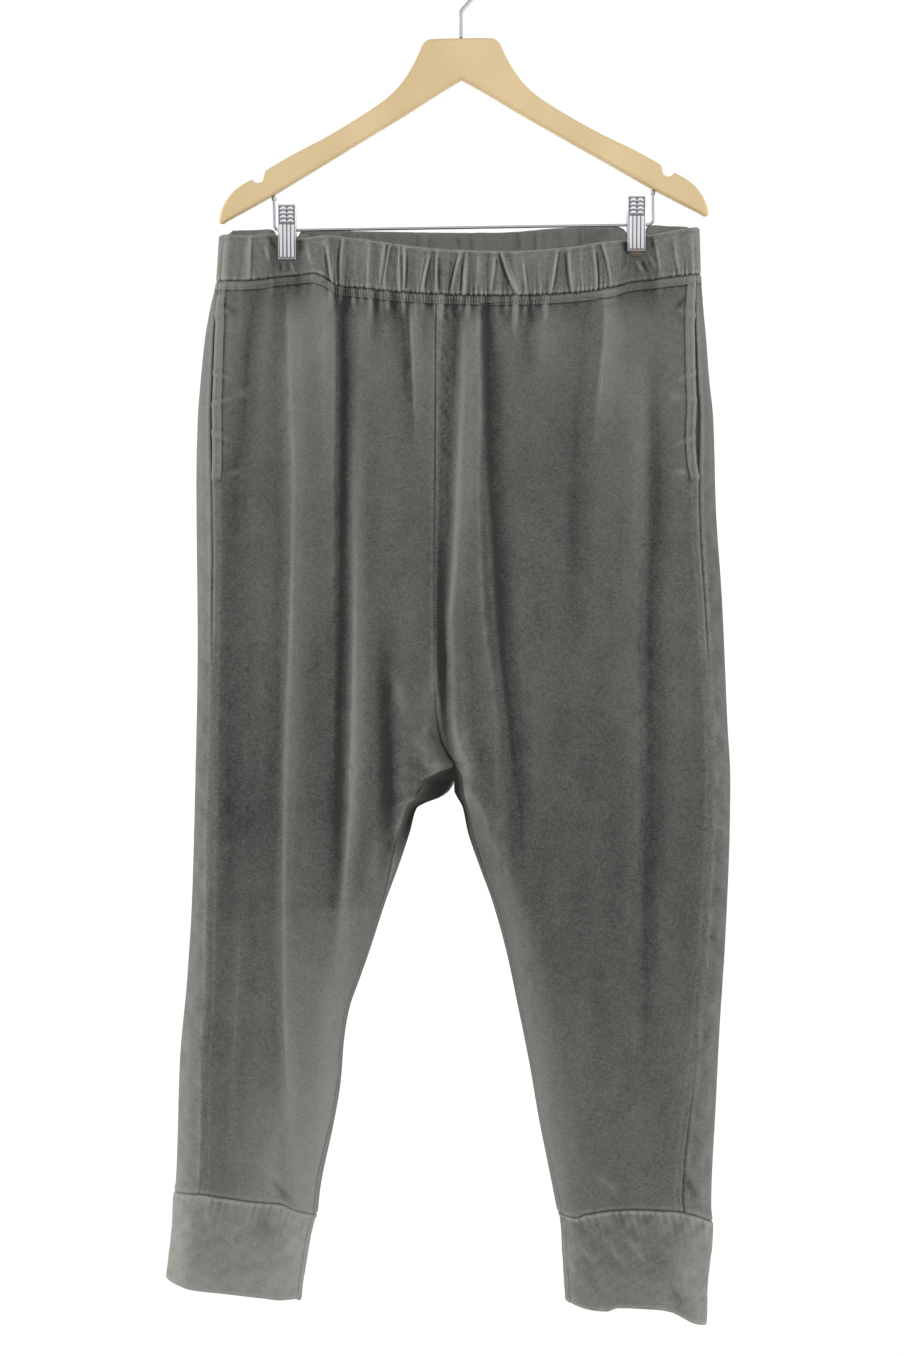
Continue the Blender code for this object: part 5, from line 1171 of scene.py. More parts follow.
def waistband(grids, finish):
    """A ring of doubled cloth over elastic, gathered in both walls and pinched flat at the clips."""
    halves = zip(band_half(grids, "front"), band_half(grids, "back"))
    base, lift, seen = (np.concatenate([near, far[:, -2:0:-1]], axis=1) for near, far in halves)
    normals = level_normals(base)
    above_seam = BAND_UP * BAND_HEIGHT
    lift = lift + seam_groove(above_seam) - 0.25 * bell(above_seam - 36.5, 1.2)
    rows = doubled_wall(base, lift, normals, BAND_CLOTH, 1.0, BAND_INNER_ROWS)
    crest, shade, wear = np.zeros((3, *rows.shape[:2]))
    inside = slice(-BAND_INNER_ROWS, None)
    crest[:BAND_ROWS] = crest_of(rows[:BAND_ROWS], normals)
    crest[inside] = -0.5 * crest_of(rows[inside], normals[:BAND_INNER_ROWS])
    base_shade, gain, top = BAND_INSIDE
    shade[:BAND_ROWS] = seen
    shade[inside] = base_shade + gain * seen[np.linspace(top * BAND_ROWS, 0, BAND_INNER_ROWS).astype(int)]
    wear[BAND_ROWS - 2:BAND_ROWS + RIM_STEPS - 2] = 0.9
    # The band gets the fullest painted light by height.
    layers = {"crest": crest, "wear": wear, "fade": 1.0, "shade": shade}
    return ring_piece("waistband_cloth", "waistband", rows, False, layers, finish)


def cuff_base(side, grids):
    """The leg's lowest ring of points, front, inseam and back, carried down to the hem: each keeps
    its share of the way across, and its depth follows the leg's."""
    leg = {key: grids[side][key][0][-1] for key in ("front", "gusset", "back", "wrap")}
    ring = np.concatenate([leg["front"], leg["gusset"][-2::-1], leg["back"][-2::-1], leg["wrap"][-2:0:-1]])
    ring = ring[np.linalg.norm(ring - np.roll(ring, 1, axis=0), axis=1) > 0.05]
    ring_x, top_z = ring[:, 0], ring[:, 2] - 0.2
    outer_end, inner_end = (ring_x[pick(SIGN[side] * ring_x)] for pick in (np.argmax, np.argmin))
    share = (ring_x - outer_end) / (inner_end - outer_end)
    down = (np.linspace(0.0, 1.0, CUFF_ROWS) ** 1.15)[:, None]
    x = ring_x
    for _ in range(3):
        hem = np.where(ring[:, 1] < 0.0, value(HEM_FRONT[side], x), value(HEM_BACK[side], x))
        z = top_z + (hem - top_z) * down
        outer_x, inner_edge = value(OUTER[side], z), column(INNER[side], "x", z)
        x = ring_x + (outer_x + (inner_edge - outer_x) * share - ring_x) * ease(down / 0.06)
    return grid_points(x, ring[:, 1] * column(DEPTHS, "edge", z) / column(DEPTHS, "edge", top_z), z)


def cuff_form(side, base):
    """Lift and shade of a cuff: seeded waves, puckers and mottling under the seam, and creases. The
    shade is painted light and shade on the puckers, the mottling, the creases and the patches,
    over the cuff's base tone and a seeded drift.
    """
    x, z = base[..., 0], base[..., 2]
    below = z[0] - z
    around = arc_lengths(base)[:1]
    seed = SEEDS["cuff"]
    lift = 1.2 * seam_groove(below) + 0.10 * waves(x, z, seed, 6, 24.0, 8.0, 1.2)
    lift = lift + 0.35 * waves(x, z, seed + 7, 4, 70.0, 34.0, 1.2)
    shade = CUFF_SHADE[side] + 0.06 * waves(around, z, seed + 4, 6, 60.0, 14.0, 0.6)
    height, pitch, reach = CUFF_PUCKERS
    random = np.random.default_rng(seed + (side == "left"))
    middles = np.arange(0.0, around.max(), pitch)
    shifts = random.uniform(-0.35, 0.35, len(middles)) * pitch
    sizes = random.uniform(0.2, 1.3, len(middles))
    for middle, size in zip(middles + shifts, sizes):
        pucker = size * bell(around - middle, 0.26 * pitch) * ease(below / 2.0)
        lift = lift + height * pucker * np.exp(-below / (reach * size))
        shade = shade + 0.1 * pucker * np.exp(-below / (0.5 * reach))
    creases = short_creases(CUFF_SHORT[side], x, z) * np.where(base[0, :, 1] < 0.0, 1.0, 0.6)
    mottle, mottle_reach = CUFF_MOTTLE
    blotches = waves(around, z, seed + 3, 7, 24.0, 6.0, 2.0)
    shade = shade + mottle * blotches * np.exp(-below / mottle_reach) * ease(below / 1.5) + 0.14 * creases
    for patch in CUFF_PATCHES[side]:
        across = bell(x - patch.x, patch.half_width)
        shade = shade + patch.shade * across * bell(z - patch.z, patch.half_height)
    return lift + creases, shade, 0.55 * bell(below - 1.8, 1.3)


def cuff(side, grids, finish):
    """A doubled tube that takes up the leg's lowest ring and carries it down to the folded hem."""
    base = cuff_base(side, grids)
    lift, seen, worn = cuff_form(side, base)
    normals = -SIGN[side] * level_normals(base)
    rows = doubled_wall(base, lift, normals, CUFF_CLOTH, -1.0, CUFF_INNER_ROWS)
    crest, wear = np.zeros((2, *rows.shape[:2]))
    crest[:CUFF_ROWS] = crest_of(rows[:CUFF_ROWS], normals)
    wear[:CUFF_ROWS] = worn
    wear[CUFF_ROWS - 2:CUFF_ROWS + RIM_STEPS - 2] = 0.7
    shade = np.full(rows.shape[:2], CUFF_SHADE[side])
    shade[:CUFF_ROWS] = seen
    layers = {"crest": crest, "wear": wear, "fade": value(PAINTED_LIGHT_BY_HEIGHT, rows[..., 2]), "shade": shade}
    return ring_piece("cuff_cloth_" + side, "cuff_" + side, rows, side == "right", layers, finish)


def pocket_facing(side, grids, normals, finish):
    """The strip inside the pocket opening: the panels' points moved in, deeper between the edges."""
    rows = rows_between(*POCKET_ROWS)

    def columns(source):
        wrap, front = source["wrap"][rows], source["front"][rows]
        middle = [wrap[:, :1] + (front[:, :1] - wrap[:, :1]) * share for share in (0.25, 0.5, 0.75)]
        return np.concatenate([wrap[:, 4:0:-1], wrap[:, :1], *middle, front[:, :14]], axis=1)

    skin = columns({key: grids[side][key][0] for key in ("wrap", "front")})
    inward = unit(columns(normals[side]))
    extra = np.zeros(skin.shape[1])
    extra[4:9] = FACING_DIP
    outer = skin - (CLOTH + FACING_GAP + extra)[None, :, None] * inward
    faces = grid_faces(*skin.shape[:2], side == "right")
    points, solid = wall(flat(outer), flat(outer - FACING_CLOTH * inward), faces)
    made = mesh_object("pocket_facing_cloth_" + side, points, solid, finish,
                       {"crest": 0.0, "wear": 0.0, "fade": 0.0}, uv=np.tile(cloth_uv(skin), (2, 1)))
    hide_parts("pocket_facing_" + side)
    return made


# ---- sewing ----
STITCH = (2.3, 3.1, 0.3)  # length, pitch and radius of a stitch
STITCH_SIDES = 6
STITCH_RINGS = 4


def stitches(name, lines, finish):
    """One mesh of many stitches: each is a little spindle, bowed out of the cloth, laid along a line
    of points with the cloth's outward directions. A ring's radius is that of an ellipse."""
    length, pitch, radius = STITCH
    t = np.linspace(-1.0, 1.0, STITCH_RINGS)[:, None, None]
    turn = full_turn(STITCH_SIDES)[:, None]
    swell = np.sqrt(np.clip(1.12 - t * t, 0.0, None)) * radius
    blocks = []
    for points, directions in lines:
        step = np.concatenate([[0.0], np.cumsum(np.linalg.norm(np.diff(points, axis=0), axis=1))])
        at = np.arange(0.5 * pitch, step[-1] - 0.5 * pitch, pitch)
        middle, ahead, out = (np.stack([np.interp(place, step, source[:, k]) for k in range(3)], axis=1)
                              for place, source in ((at, points), (at + 0.4, points), (at, directions)))
        along = unit(ahead - middle)
        out = unit(out - np.sum(out * along, axis=1, keepdims=True) * along)
        beside = np.cross(along, out)
        middle, along, out, beside = (part[:, None, None] for part in (middle, along, out, beside))
        spine = middle + 0.5 * length * t * along + (0.12 - 0.34 * t ** 2) * out
        blocks.append(flat(spine + swell * (np.cos(turn) * out + np.sin(turn) * beside)))
    points = np.concatenate(blocks)
    each = STITCH_RINGS * STITCH_SIDES
    caps = np.array([[3, 2, 1, 0], [5, 4, 3, 0]])
    far = caps[:, ::-1] + each - STITCH_SIDES
    template = np.concatenate([grid_faces(STITCH_RINGS, STITCH_SIDES, ring=True), caps, far])
    starts = each * np.arange(len(points) // each)[:, None, None]
    return mesh_object(name, points, (template + starts).reshape(-1, 4), finish, {"crest": 0.0},
                       sharp=80.0)


def across_lines(skins, normals, below):
    """Lines of points round the body at a depth under the waist seam, one for each grid."""
    row = float(np.interp(below, BELOW[:, 0], np.arange(len(ROWS))))
    low, part = int(row), row - int(row)
    pairs = [(skins[side][key], normals[side][key]) for side in SIDES for key in ("front", "wrap", "back")]
    return [(skin[low] * (1.0 - part) + skin[low + 1] * part, out[low]) for skin, out in pairs]


def down_line(grid, skin, out, from_end, distance):
    """A line of points down a grid at a distance from its first or last column."""
    away = np.abs(grid[..., 0] - (grid[:, -1:, 0] if from_end else grid[:, :1, 0]))
    if from_end:
        away, skin, out = away[:, ::-1], skin[:, ::-1], out[:, ::-1]
    index = np.maximum(np.argmax(away >= distance, axis=1), 1)
    pick = np.arange(len(index))
    low, high = away[pick, index - 1], away[pick, index]
    part = ((distance - low) / np.maximum(high - low, 1e-6))[:, None]
    return skin[pick, index - 1] * (1.0 - part) + skin[pick, index] * part, out[pick, index]


def match_skins(skins):
    """Give points that two grids share one place, after the relief has moved them."""
    for side in SIDES:
        skins[side]["back"][:, 0] = skins[side]["wrap"][:, -1]
        skins[side]["back"][SEAT_ROW:, -1] = skins[side]["gusset"][SEAT_ROW - CROTCH_ROW:, 0]


def all_stitches(grids, skins, normals, finish):
    """Two rows round the waist's strip, and rows beside the pockets and the centre seams."""
    lines = []
    for offset in TOPSTITCH["waist"]:
        lines += across_lines(skins, normals, offset)
    rows_of = {"pocket": rows_between(*POCKET_SEWN), "centre": rows_between(*CENTRE_SEWN)}
    for side in SIDES:
        for key, seam in (("front", "pocket"), ("front", "centre"), ("back", "centre")):
            rows = rows_of[seam]
            parts = grids[side][key][0][rows], skins[side][key][rows], normals[side][key][rows]
            lines.append(down_line(*parts, seam == "centre", TOPSTITCH[seam]))
    return stitches("sewing", lines, finish)


# ---- hanger and clips ----
# Outline of the arm on the wearer's left, x from the joint and z from the neck's top: along the top
# to the tip, and back along the underside.
Spot = namedtuple("Spot", "x z")
ARM_TOP = table(Spot, (0.02, 0), (12, -0.1), (24, -0.3), (30.5, -1.2), (34.5, -4.6), (38.5, -13.2),
    (45.5, -26.6), (54, -39.1), (64.5, -50.2), (79, -60.9), (98.8, -73.3), (122, -86.7), (155, -103.5),
    (171, -112.4), (180, -117.9), (190.9, -124.4), (200, -129.5), (209.5, -136.9), (216.8, -147.1),
    (220.6, -157.2), (221.2, -163.3))
ARM_FOOT = table(Spot, (0.02, -37.2), (20, -49), (55, -70.5), (88, -89.9), (121.5, -109.6), (146, -124),
    (171.5, -138.9), (192, -149.9), (205, -156.8), (213, -161.1), (218, -163.9), (221.2, -163.3))
ARM_STEPS = 130
ARM_LENGTH = 275.0  # along its figure
NOTCH = Spot(185.4, -122.3)  # centre of the round notch in the shoulder
NOTCH_RADIUS = 5.6
NOTCH_ROOM = (0.625, 0.72, 60)  # share of the arm's length that the notch's extra rings take, and how many
ARM_EDGE = 2.4  # rounding of the wood's edges
ARM_CORNER_STEPS = 6
ARM_ACROSS = 14
TIP_THIN = (26.0, 0.42)  # length over which the tip thins, and how much of the thickness is left
WIRE = 3.6
WIRE_SIDES = 20
HOOK_CENTRE_Z = -20.0
HOOK_RADIUS = 21.8
HOOK_TURN = (-45.0, 205.0)
HOOK_STEM = table(Spot, (0, -76), (0, -66), (0, -56), (0.15, -53), (0.8, -50.8), (1.9, -48.9))
BAR_REACH = 171.3
BAR_DROP = -170.6
BAR_END = -140.1
BAR_BEND = 5.0
FERRULE_REACH = 3.2  # the bar's ends sit in small collars under the arms
FERRULE_RINGS = 4
Clip = namedtuple("Clip", "side x bar_z plate_foot pad_foot")
CLIPS = table(Clip, ("right", -157, -251.1, -27.1, -25.2), ("left", 158.4, -246.1, -24.4, -29.2))
PLATE = (16.3, 0.7, 49.0)  # width, metal and height
PLATE_TILT = 7.0  # degrees
PLATE_COLUMNS = 60
PLATE_ROWS = 100
PLATE_EDGE = 0.9  # the plate's edges turn in over this width
BAR_X = 3.2  # two columns of four arched bars above
BAR_LEVELS = (45.9, 42.2, 38.5, 34.8)  # their heights above the plate's foot
BAR_SIZE = (2.9, 1.25)  # half length and half height of a bar
BAR_ARCH = 0.13  # how much a bar droops, per square millimetre off its middle
BAR_RISE = 0.75
RIB_X = (-5.3, -1.8, 1.8, 5.3)  # four upright ribs below
RIB_HALF = 1.25
RIB_RISE = 0.8
RIB_TOP = 31.6
EAR_X = {"front": 7.0, "back": 5.8}
EAR_THICK = 0.8
EAR_HEIGHT = 6.0
EAR_BEYOND = 3.0
EAR_SHADE = 0.25  # painted shade on the ears
PAD_SIZE = (12.5, 1.2, 15.0)
PAD_GAP = 0.3  # from the cloth to the pad and from the pad to the plate
PAD_SIDES = 48
PAD_POWER = 0.28  # of the superellipse
# Levels of the pad, as shares of its thickness, and how wide it is at each.
PAD_LEVELS = ((0.0, 0.5), (0.0, 0.97), (0.12, 1.0), (0.5, 1.0), (0.88, 1.0), (1.0, 0.97), (1.0, 0.5))
SPRING_RADIUS = 3.1
SPRING_WIRE = 0.9
SPRING_LENGTH = 9.4
SPRING_TURNS = 8


def along_path(spots, share):
    """Points at shares of the length of a smooth line through the spots, as x and z."""
    x, z = np.array(spots, float).T
    length = np.concatenate([[0.0], np.cumsum(np.hypot(np.diff(x), np.diff(z)))])
    return cubic(share * length[-1], length, x), cubic(share * length[-1], length, z)


def with_notch(x, z):
    """The arm's top line with the shoulder notch: an upright slot with a round floor."""
    inside = np.abs(x - NOTCH.x) < NOTCH_RADIUS
    floor = NOTCH.z - np.sqrt(np.clip(NOTCH_RADIUS ** 2 - (x - NOTCH.x) ** 2, 0.0, None))
    return np.where(inside, np.minimum(z, floor), z)


def cubic(at, knots, values):
    """Cubic through the knots whose slope at a knot is that of the chord between its neighbours."""
    slope = np.gradient(values, knots)
    i = np.clip(np.searchsorted(knots, at) - 1, 0, len(knots) - 2)
    step = knots[i + 1] - knots[i]
    t = (at - knots[i]) / step
    keep = (1.0 + 2.0 * t) * (1.0 - t) ** 2
    return (keep * values[i] + (1.0 - keep) * values[i + 1] + t * (1.0 - t) ** 2 * step * slope[i]
            - t * t * (1.0 - t) * step * slope[i + 1])


def hang(points):
    """Put points of the hanger, given from the neck, at their height and lean."""
    lean = math.radians(HANGER_TILT)
    x, y, z = points[..., 0], points[..., 1], points[..., 2]
    leaned_z = x * math.sin(lean) + z * math.cos(lean)
    return grid_points(x * math.cos(lean) - z * math.sin(lean), y, leaned_z + NECK_TOP_Z)


def tube(path, radius, sides, swell=0.0):
    """A round wire along a path of points: rings turned to follow it, with domed ends. swell is how
    much wider, as a share of the radius, each ring is."""
    along = unit(np.gradient(path, axis=0))
    dome = np.radians([6.0, 30.0, 60.0])
    reach = radius * np.cos(dome)[:, None]
    size = np.concatenate([np.sin(dome), (1.0 + swell) * np.ones(len(path)), np.sin(dome)[::-1]])
    path = np.concatenate([path[0] - along[0] * reach, path, path[-1] + along[-1] * reach[::-1]])
    along = np.concatenate([np.repeat(along[:1], 3, 0), along, np.repeat(along[-1:], 3, 0)])
    side = np.cross(along, np.array([0.0, 1.0, 0.0]))
    weak = np.linalg.norm(side, axis=1, keepdims=True) < 1e-3
    side = unit(np.where(weak, np.array([1.0, 0.0, 0.0]), side))[:, None]
    up = np.cross(side, along[:, None])
    turn = full_turn(sides)[None, :, None]
    return path[:, None] + radius * size[:, None, None] * (np.cos(turn) * side + np.sin(turn) * up)


def solid_of(rows, flip=False):
    """Points and faces of a closed tube of rings, its two ends closed by strips across."""
    count, sides = rows.shape[:2]
    low = np.arange((sides - 1) // 2)
    cap = np.stack([low, low + 1, sides - 2 - low, sides - 1 - low], axis=1)
    far = cap[:, ::-1] + (count - 1) * sides
    faces = np.concatenate([grid_faces(count, sides, flip=True, ring=True), cap, far])
    return flat(rows), faces[:, ::-1] if flip else faces


def arm(side, finish):
    """One wooden arm: rings across it from the joint to the tip, each a rounded rectangle."""
    share = np.sort(np.concatenate([np.linspace(0.0, 0.997, ARM_STEPS), np.linspace(*NOTCH_ROOM)]))
    top_x, top_z = along_path(ARM_TOP, share)
    top_z = with_notch(top_x, top_z)
    foot_x, foot_z = along_path(ARM_FOOT, share)
    width = np.hypot(top_x - foot_x, top_z - foot_z)
    from_tip = np.hypot(ARM_TOP[-1].x - 0.5 * (top_x + foot_x), ARM_TOP[-1].z - 0.5 * (top_z + foot_z))
    reach, left = TIP_THIN
    half = 0.5 * HANGER_THICK * (left + (1.0 - left) * rounding(from_tip, reach))[:, None]
    edge = np.minimum(ARM_EDGE, 0.32 * width)[:, None]
    turn = np.linspace(0.0, 0.5 * math.pi, ARM_CORNER_STEPS)[None, :]
    near, far = edge * (1.0 - np.cos(turn)), edge * (1.0 - np.sin(turn))
    level = np.linspace(0.0, 1.0, ARM_ACROSS)[None, 1:-1]
    full = width[:, None]
    across = (full - 2.0 * edge) * level
    down = np.concatenate([near, edge + across, full - far, full - near, full - edge - across, far], axis=1)
    level = half + 0.0 * level
    out = np.concatenate([far - half, -level, near - half, half - far, level, half - near], axis=1)
    part = down / full
    x = top_x[:, None] + (foot_x - top_x)[:, None] * part
    z = top_z[:, None] + (foot_z - top_z)[:, None] * part
    points, faces = solid_of(hang(grid_points(SIGN[side] * x, out, z)), side == "left")
    uv = flat(grid_points(share[:, None] * ARM_LENGTH, down + out, 0.0))[:, :2]
    # Darker towards the foot of each ring, along the arm's underside.
    foot_darkening = ease((part - 0.86) / 0.1)
    made = mesh_object("wooden_arm_" + side, points, faces, finish, {"foot_darkening": foot_darkening}, uv=uv,
                       shift=0.0, sharp=32.0)
    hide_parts("hanger_arm_" + side)
    return made


def hook(finish):
    """The hook: a stem up from the neck, bent over into a part circle."""
    stem_x, stem_z = along_path(HOOK_STEM, np.linspace(0.0, 1.0, 26)[:-4])
    turn = np.radians(np.linspace(*HOOK_TURN, 72))[3:]
    arc = grid_points(HOOK_RADIUS * np.cos(turn), 0.0, HOOK_CENTRE_Z + HOOK_RADIUS * np.sin(turn))
    path = np.concatenate([grid_points(stem_x, 0.0, stem_z), arc])
    points, faces = solid_of(tube(path, 0.5 * WIRE, WIRE_SIDES))
    made = mesh_object("steel_hook", points, faces, finish, {"hollow_shade": 0.0}, shift=0.0)
    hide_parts("hook")
    return made


def bar(finish):
    """The trouser bar: a wire down from each arm and across between them, its corners bent round."""
    bend = np.radians(np.linspace(0.0, 90.0, 12))
    corner = grid_points(BAR_REACH - BAR_BEND + BAR_BEND * np.cos(bend), 0.0,
                         BAR_DROP + BAR_BEND - BAR_BEND * np.sin(bend))
    ferrule_foot = BAR_END - FERRULE_REACH
    rise = np.concatenate([np.linspace(BAR_END, ferrule_foot, FERRULE_RINGS),
                           np.linspace(ferrule_foot - 0.3, BAR_DROP + BAR_BEND + 1.0, 10)])
    half = np.concatenate([grid_points(BAR_REACH, 0.0, rise), corner])
    reach = BAR_REACH - BAR_BEND - 3.0
    middle = grid_points(np.linspace(reach, -reach, 60), 0.0, BAR_DROP)
    path = hang(np.concatenate([half, middle, half[::-1] * np.array([-1.0, 1.0, 1.0])]))
    from_end = np.minimum(np.arange(len(path)), np.arange(len(path))[::-1])
    swell = 0.7 * (from_end < FERRULE_RINGS)
    points, faces = solid_of(tube(path, 0.5 * BAR_WIRE, WIRE_SIDES, swell))
    made = mesh_object("steel_bar", points, faces, finish, {"hollow_shade": 0.0}, shift=0.0)
    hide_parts("trouser_bar")
    return made


def plate_relief(x, z):
    """Height of the pressed plate at x from its middle and z above its foot: two columns of arched
    bars above, four ribs below, and edges that turn in. Also the painted shade, 0 to 1: darker on
    the flats between the bars and ribs, less so near the rim."""
    half_length, half_height = BAR_SIZE
    off = np.abs(x) - BAR_X
    bars, ribs = 0.0, 0.0
    for level in BAR_LEVELS:
        far = (off / half_length) ** 4 + ((z - level + BAR_ARCH * off ** 2) / half_height) ** 2
        bars = np.maximum(bars, ease((1.3 - far) / 0.7))
    for middle in RIB_X:
        ribs = np.maximum(ribs, ease((RIB_HALF + 0.2 - np.abs(x - middle)) / 0.5))
    ribs = ribs * ease((RIB_TOP - z) / 0.8) * ease((z - 1.6) / 0.8)
    edge = np.minimum(0.5 * PLATE[0] - np.abs(x), np.minimum(z, PLATE[2] - z))
    rise = BAR_RISE * bars + RIB_RISE * ribs - 0.5 * (1.0 - rounding(edge, PLATE_EDGE))
    return rise, (1.0 - np.maximum(bars, ribs)) * (0.15 + 0.85 * ease((edge - 0.6) / 0.5))


def jaw_points(clip, face, x, out, along):
    """Points of a jaw plate from x, the distance out of its inner plane and the way up its height."""
    tilt = math.radians(PLATE_TILT)
    inner_y = PINCH_DEPTH + PAD_GAP + PAD_SIZE[1] + PAD_GAP
    y = inner_y + along * math.sin(tilt) + out * math.cos(tilt)
    z = clip.bar_z + clip.plate_foot + along * math.cos(tilt) - out * math.sin(tilt)
    return grid_points(clip.x + x, FACE[face].out * y, z)


def ear(clip, face, middle_x):
    """An ear of a jaw: from the plate's inner face to a round end beyond the bar."""
    tilt = math.radians(PLATE_TILT)
    root = (np.array([-0.5, 0.5]) * EAR_HEIGHT - clip.plate_foot) / math.cos(tilt)
    root = jaw_points(clip, face, 0.0, 0.0, root)
    turn = np.linspace(-0.5 * math.pi, 0.5 * math.pi, 13)
    end = grid_points(clip.x, -FACE[face].out * EAR_BEYOND * np.cos(turn),
                      clip.bar_z + 0.5 * EAR_HEIGHT * np.sin(turn))
    outline = np.concatenate([root[:1], end, root[1:]])
    across = np.array([[[-0.5, 0.0, 0.0]], [[0.5, 0.0, 0.0]]]) * EAR_THICK
    points, faces = solid_of(outline + across + np.array([middle_x, 0.0, 0.0]), face == "front")
    return points, cut_triangles(faces)


def jaw_plate(clip, face, finish):
    """A pressed jaw: its relief outside, a plain face inside, a closed rim, and two ears."""
    width, thick, height = PLATE
    x = np.linspace(-0.5 * width, 0.5 * width, PLATE_COLUMNS)[None, :]
    z = np.linspace(0.0, height, PLATE_ROWS)[:, None]
    rise, hollow = plate_relief(x, z)
    outer, inner = (flat(jaw_points(clip, face, x, out, z)) for out in (thick + rise, 0.0 * rise))
    blocks = [wall(outer, inner, grid_faces(PLATE_ROWS, PLATE_COLUMNS, face == "back"))]
    # Painted shade: darker on the plate's flats between bars and ribs, and on the ears.
    hollow_shade = [hollow.ravel(), np.zeros(hollow.size)]
    for side in SIDES:
        blocks.append(ear(clip, face, SIGN[side] * EAR_X[face]))
        hollow_shade.append(np.full(len(blocks[-1][0]), EAR_SHADE))
    starts = np.cumsum([0] + [len(points) for points, _ in blocks])
    points = np.concatenate([points for points, _ in blocks])
    faces = np.concatenate([faces + start for (_, faces), start in zip(blocks, starts)])
    made = mesh_object(f"steel_jaw_{clip.side}_{face}", points, faces, finish,
                       {"hollow_shade": np.concatenate(hollow_shade)}, shift=0.0, sharp=60.0)
    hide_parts(f"clip_{clip.side}_{face}_plate")
    return made


def pad(clip, face, finish):
    """The soft pad inside a jaw: a block with rounded edges, a superellipse at every level."""
    width, thick, height = PAD_SIZE
    turn = full_turn(PAD_SIDES)
    ring_x, ring_z = (0.5 * size * np.sign(part) * np.abs(part) ** PAD_POWER
                      for size, part in ((width, np.cos(turn)), (height, np.sin(turn))))
    level, inset = np.array(PAD_LEVELS).T[..., None]
    middle_z = clip.bar_z + clip.pad_foot + 0.5 * height
    y = FACE[face].out * (PINCH_DEPTH + PAD_GAP + thick * level)
    rows = grid_points(clip.x + inset * ring_x, y, middle_z + inset * ring_z)
    points, faces = solid_of(rows, face == "front")
    made = mesh_object(f"soft_pad_{clip.side}_{face}", points, faces, finish, {"foot_darkening": 0.0},
                       shift=0.0)
    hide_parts(f"clip_{clip.side}_{face}_pad")
    return made


def spring(clip, finish):
    """The coil spring round the bar: a wire along a helix."""
    t = np.linspace(0.0, 1.0, SPRING_TURNS * 26)
    angle = 2.0 * math.pi * SPRING_TURNS * t
    path = grid_points(clip.x + SPRING_LENGTH * (t - 0.5), SPRING_RADIUS * np.cos(angle),
                       clip.bar_z + SPRING_RADIUS * np.sin(angle))
    points, faces = solid_of(tube(path, 0.5 * SPRING_WIRE, 8))
    made = mesh_object("steel_spring_" + clip.side, points, faces, finish, {"hollow_shade": 0.0},
                       shift=0.0)
    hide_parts(f"clip_{clip.side}_sleeve")
    return made


# ---- finishes ----
WAVE_PER_MM = 6283.2  # radians per metre of a wave one millimetre long
RIB_PITCH = 2.6  # of the fine gathers at the waist, millimetres
WALE_PITCH = 0.95  # of the knit, across and down
COURSE_PITCH = 0.8


def srgb(red, green, blue):
    """Linear colour from 0-255 display values."""
    share = np.array([red, green, blue]) / 255.0
    linear = np.where(share <= 0.04045, share / 12.92, ((share + 0.055) / 1.055) ** 2.4)
    return (*linear.tolist(), 1.0)


class Nodes:
    """Short ways to place nodes in a tree and to join them."""

    def __init__(self, tree):
        self.tree = tree

    def add(self, kind, **settings):
        node = self.tree.nodes.new(kind)
        for key, setting in settings.items():
            setattr(node, key, setting)
        return node

    def feed(self, node, sources):
        """Link an output into each named socket of a node, or set the socket's value."""
        for key, source in sources.items():
            if isinstance(source, bpy.types.NodeSocket):
                self.tree.links.new(source, node.inputs[key])
            else:
                node.inputs[key].default_value = source
        return node

    def math(self, operation, first, second=0.0, third=0.0, clamp=False):
        node = self.add("ShaderNodeMath", operation=operation, use_clamp=clamp)
        return self.feed(node, {0: first, 1: second, 2: third}).outputs[0]

    def span(self, source, low, high, to_low=0.0, to_high=1.0):
        """Map low..high onto to_low..to_high, clamped."""
        ends = {"From Min": low, "From Max": high, "To Min": to_low, "To Max": to_high}
        return self.feed(self.add("ShaderNodeMapRange"), {"Value": source, **ends}).outputs["Result"]

    def noise(self, vector, scale, detail=2.0, roughness=0.5, distortion=0.0):
        kinds = {"Scale": scale, "Detail": detail, "Roughness": roughness, "Distortion": distortion}
        return self.feed(self.add("ShaderNodeTexNoise"), {"Vector": vector, **kinds}).outputs["Fac"]

    def stretched(self, vector, scale):
        return self.feed(self.add("ShaderNodeMapping"), {"Vector": vector, "Scale": scale}).outputs["Vector"]

    def mix(self, share, first, second):
        node = self.add("ShaderNodeMix", data_type="RGBA")
        return self.feed(node, {0: share, 6: first, 7: second}).outputs[2]

    def attribute(self, name):
        return self.add("ShaderNodeAttribute", attribute_name=name).outputs["Fac"]

    def place(self):
        return self.add("ShaderNodeTexCoord").outputs["Object"]

    def cloth_xy(self):
        """The piece's own map, and its two coordinates."""
        cloth = self.add("ShaderNodeUVMap", uv_map="cloth").outputs["UV"]
        split = self.add("ShaderNodeSeparateXYZ")
        self.feed(split, {0: cloth})
        return cloth, split.outputs["X"], split.outputs["Y"]

    def bump(self, height, distance, strength=1.0, **under):
        feeds = {"Height": height, "Distance": distance, "Strength": strength, **under}
        return self.feed(self.add("ShaderNodeBump"), feeds).outputs["Normal"]


def group(name, inputs, outputs):
    """A new node group with its sockets, and the nodes at its two ends."""
    tree = bpy.data.node_groups.new(name, "ShaderNodeTree")
    for key, kind, start in inputs:
        socket = tree.interface.new_socket(key, in_out="INPUT", socket_type=kind)
        if start is not None:
            socket.default_value = start
    for key, kind in outputs:
        tree.interface.new_socket(key, in_out="OUTPUT", socket_type=kind)
    nodes = Nodes(tree)
    return nodes, nodes.add("NodeGroupInput"), nodes.add("NodeGroupOutput")


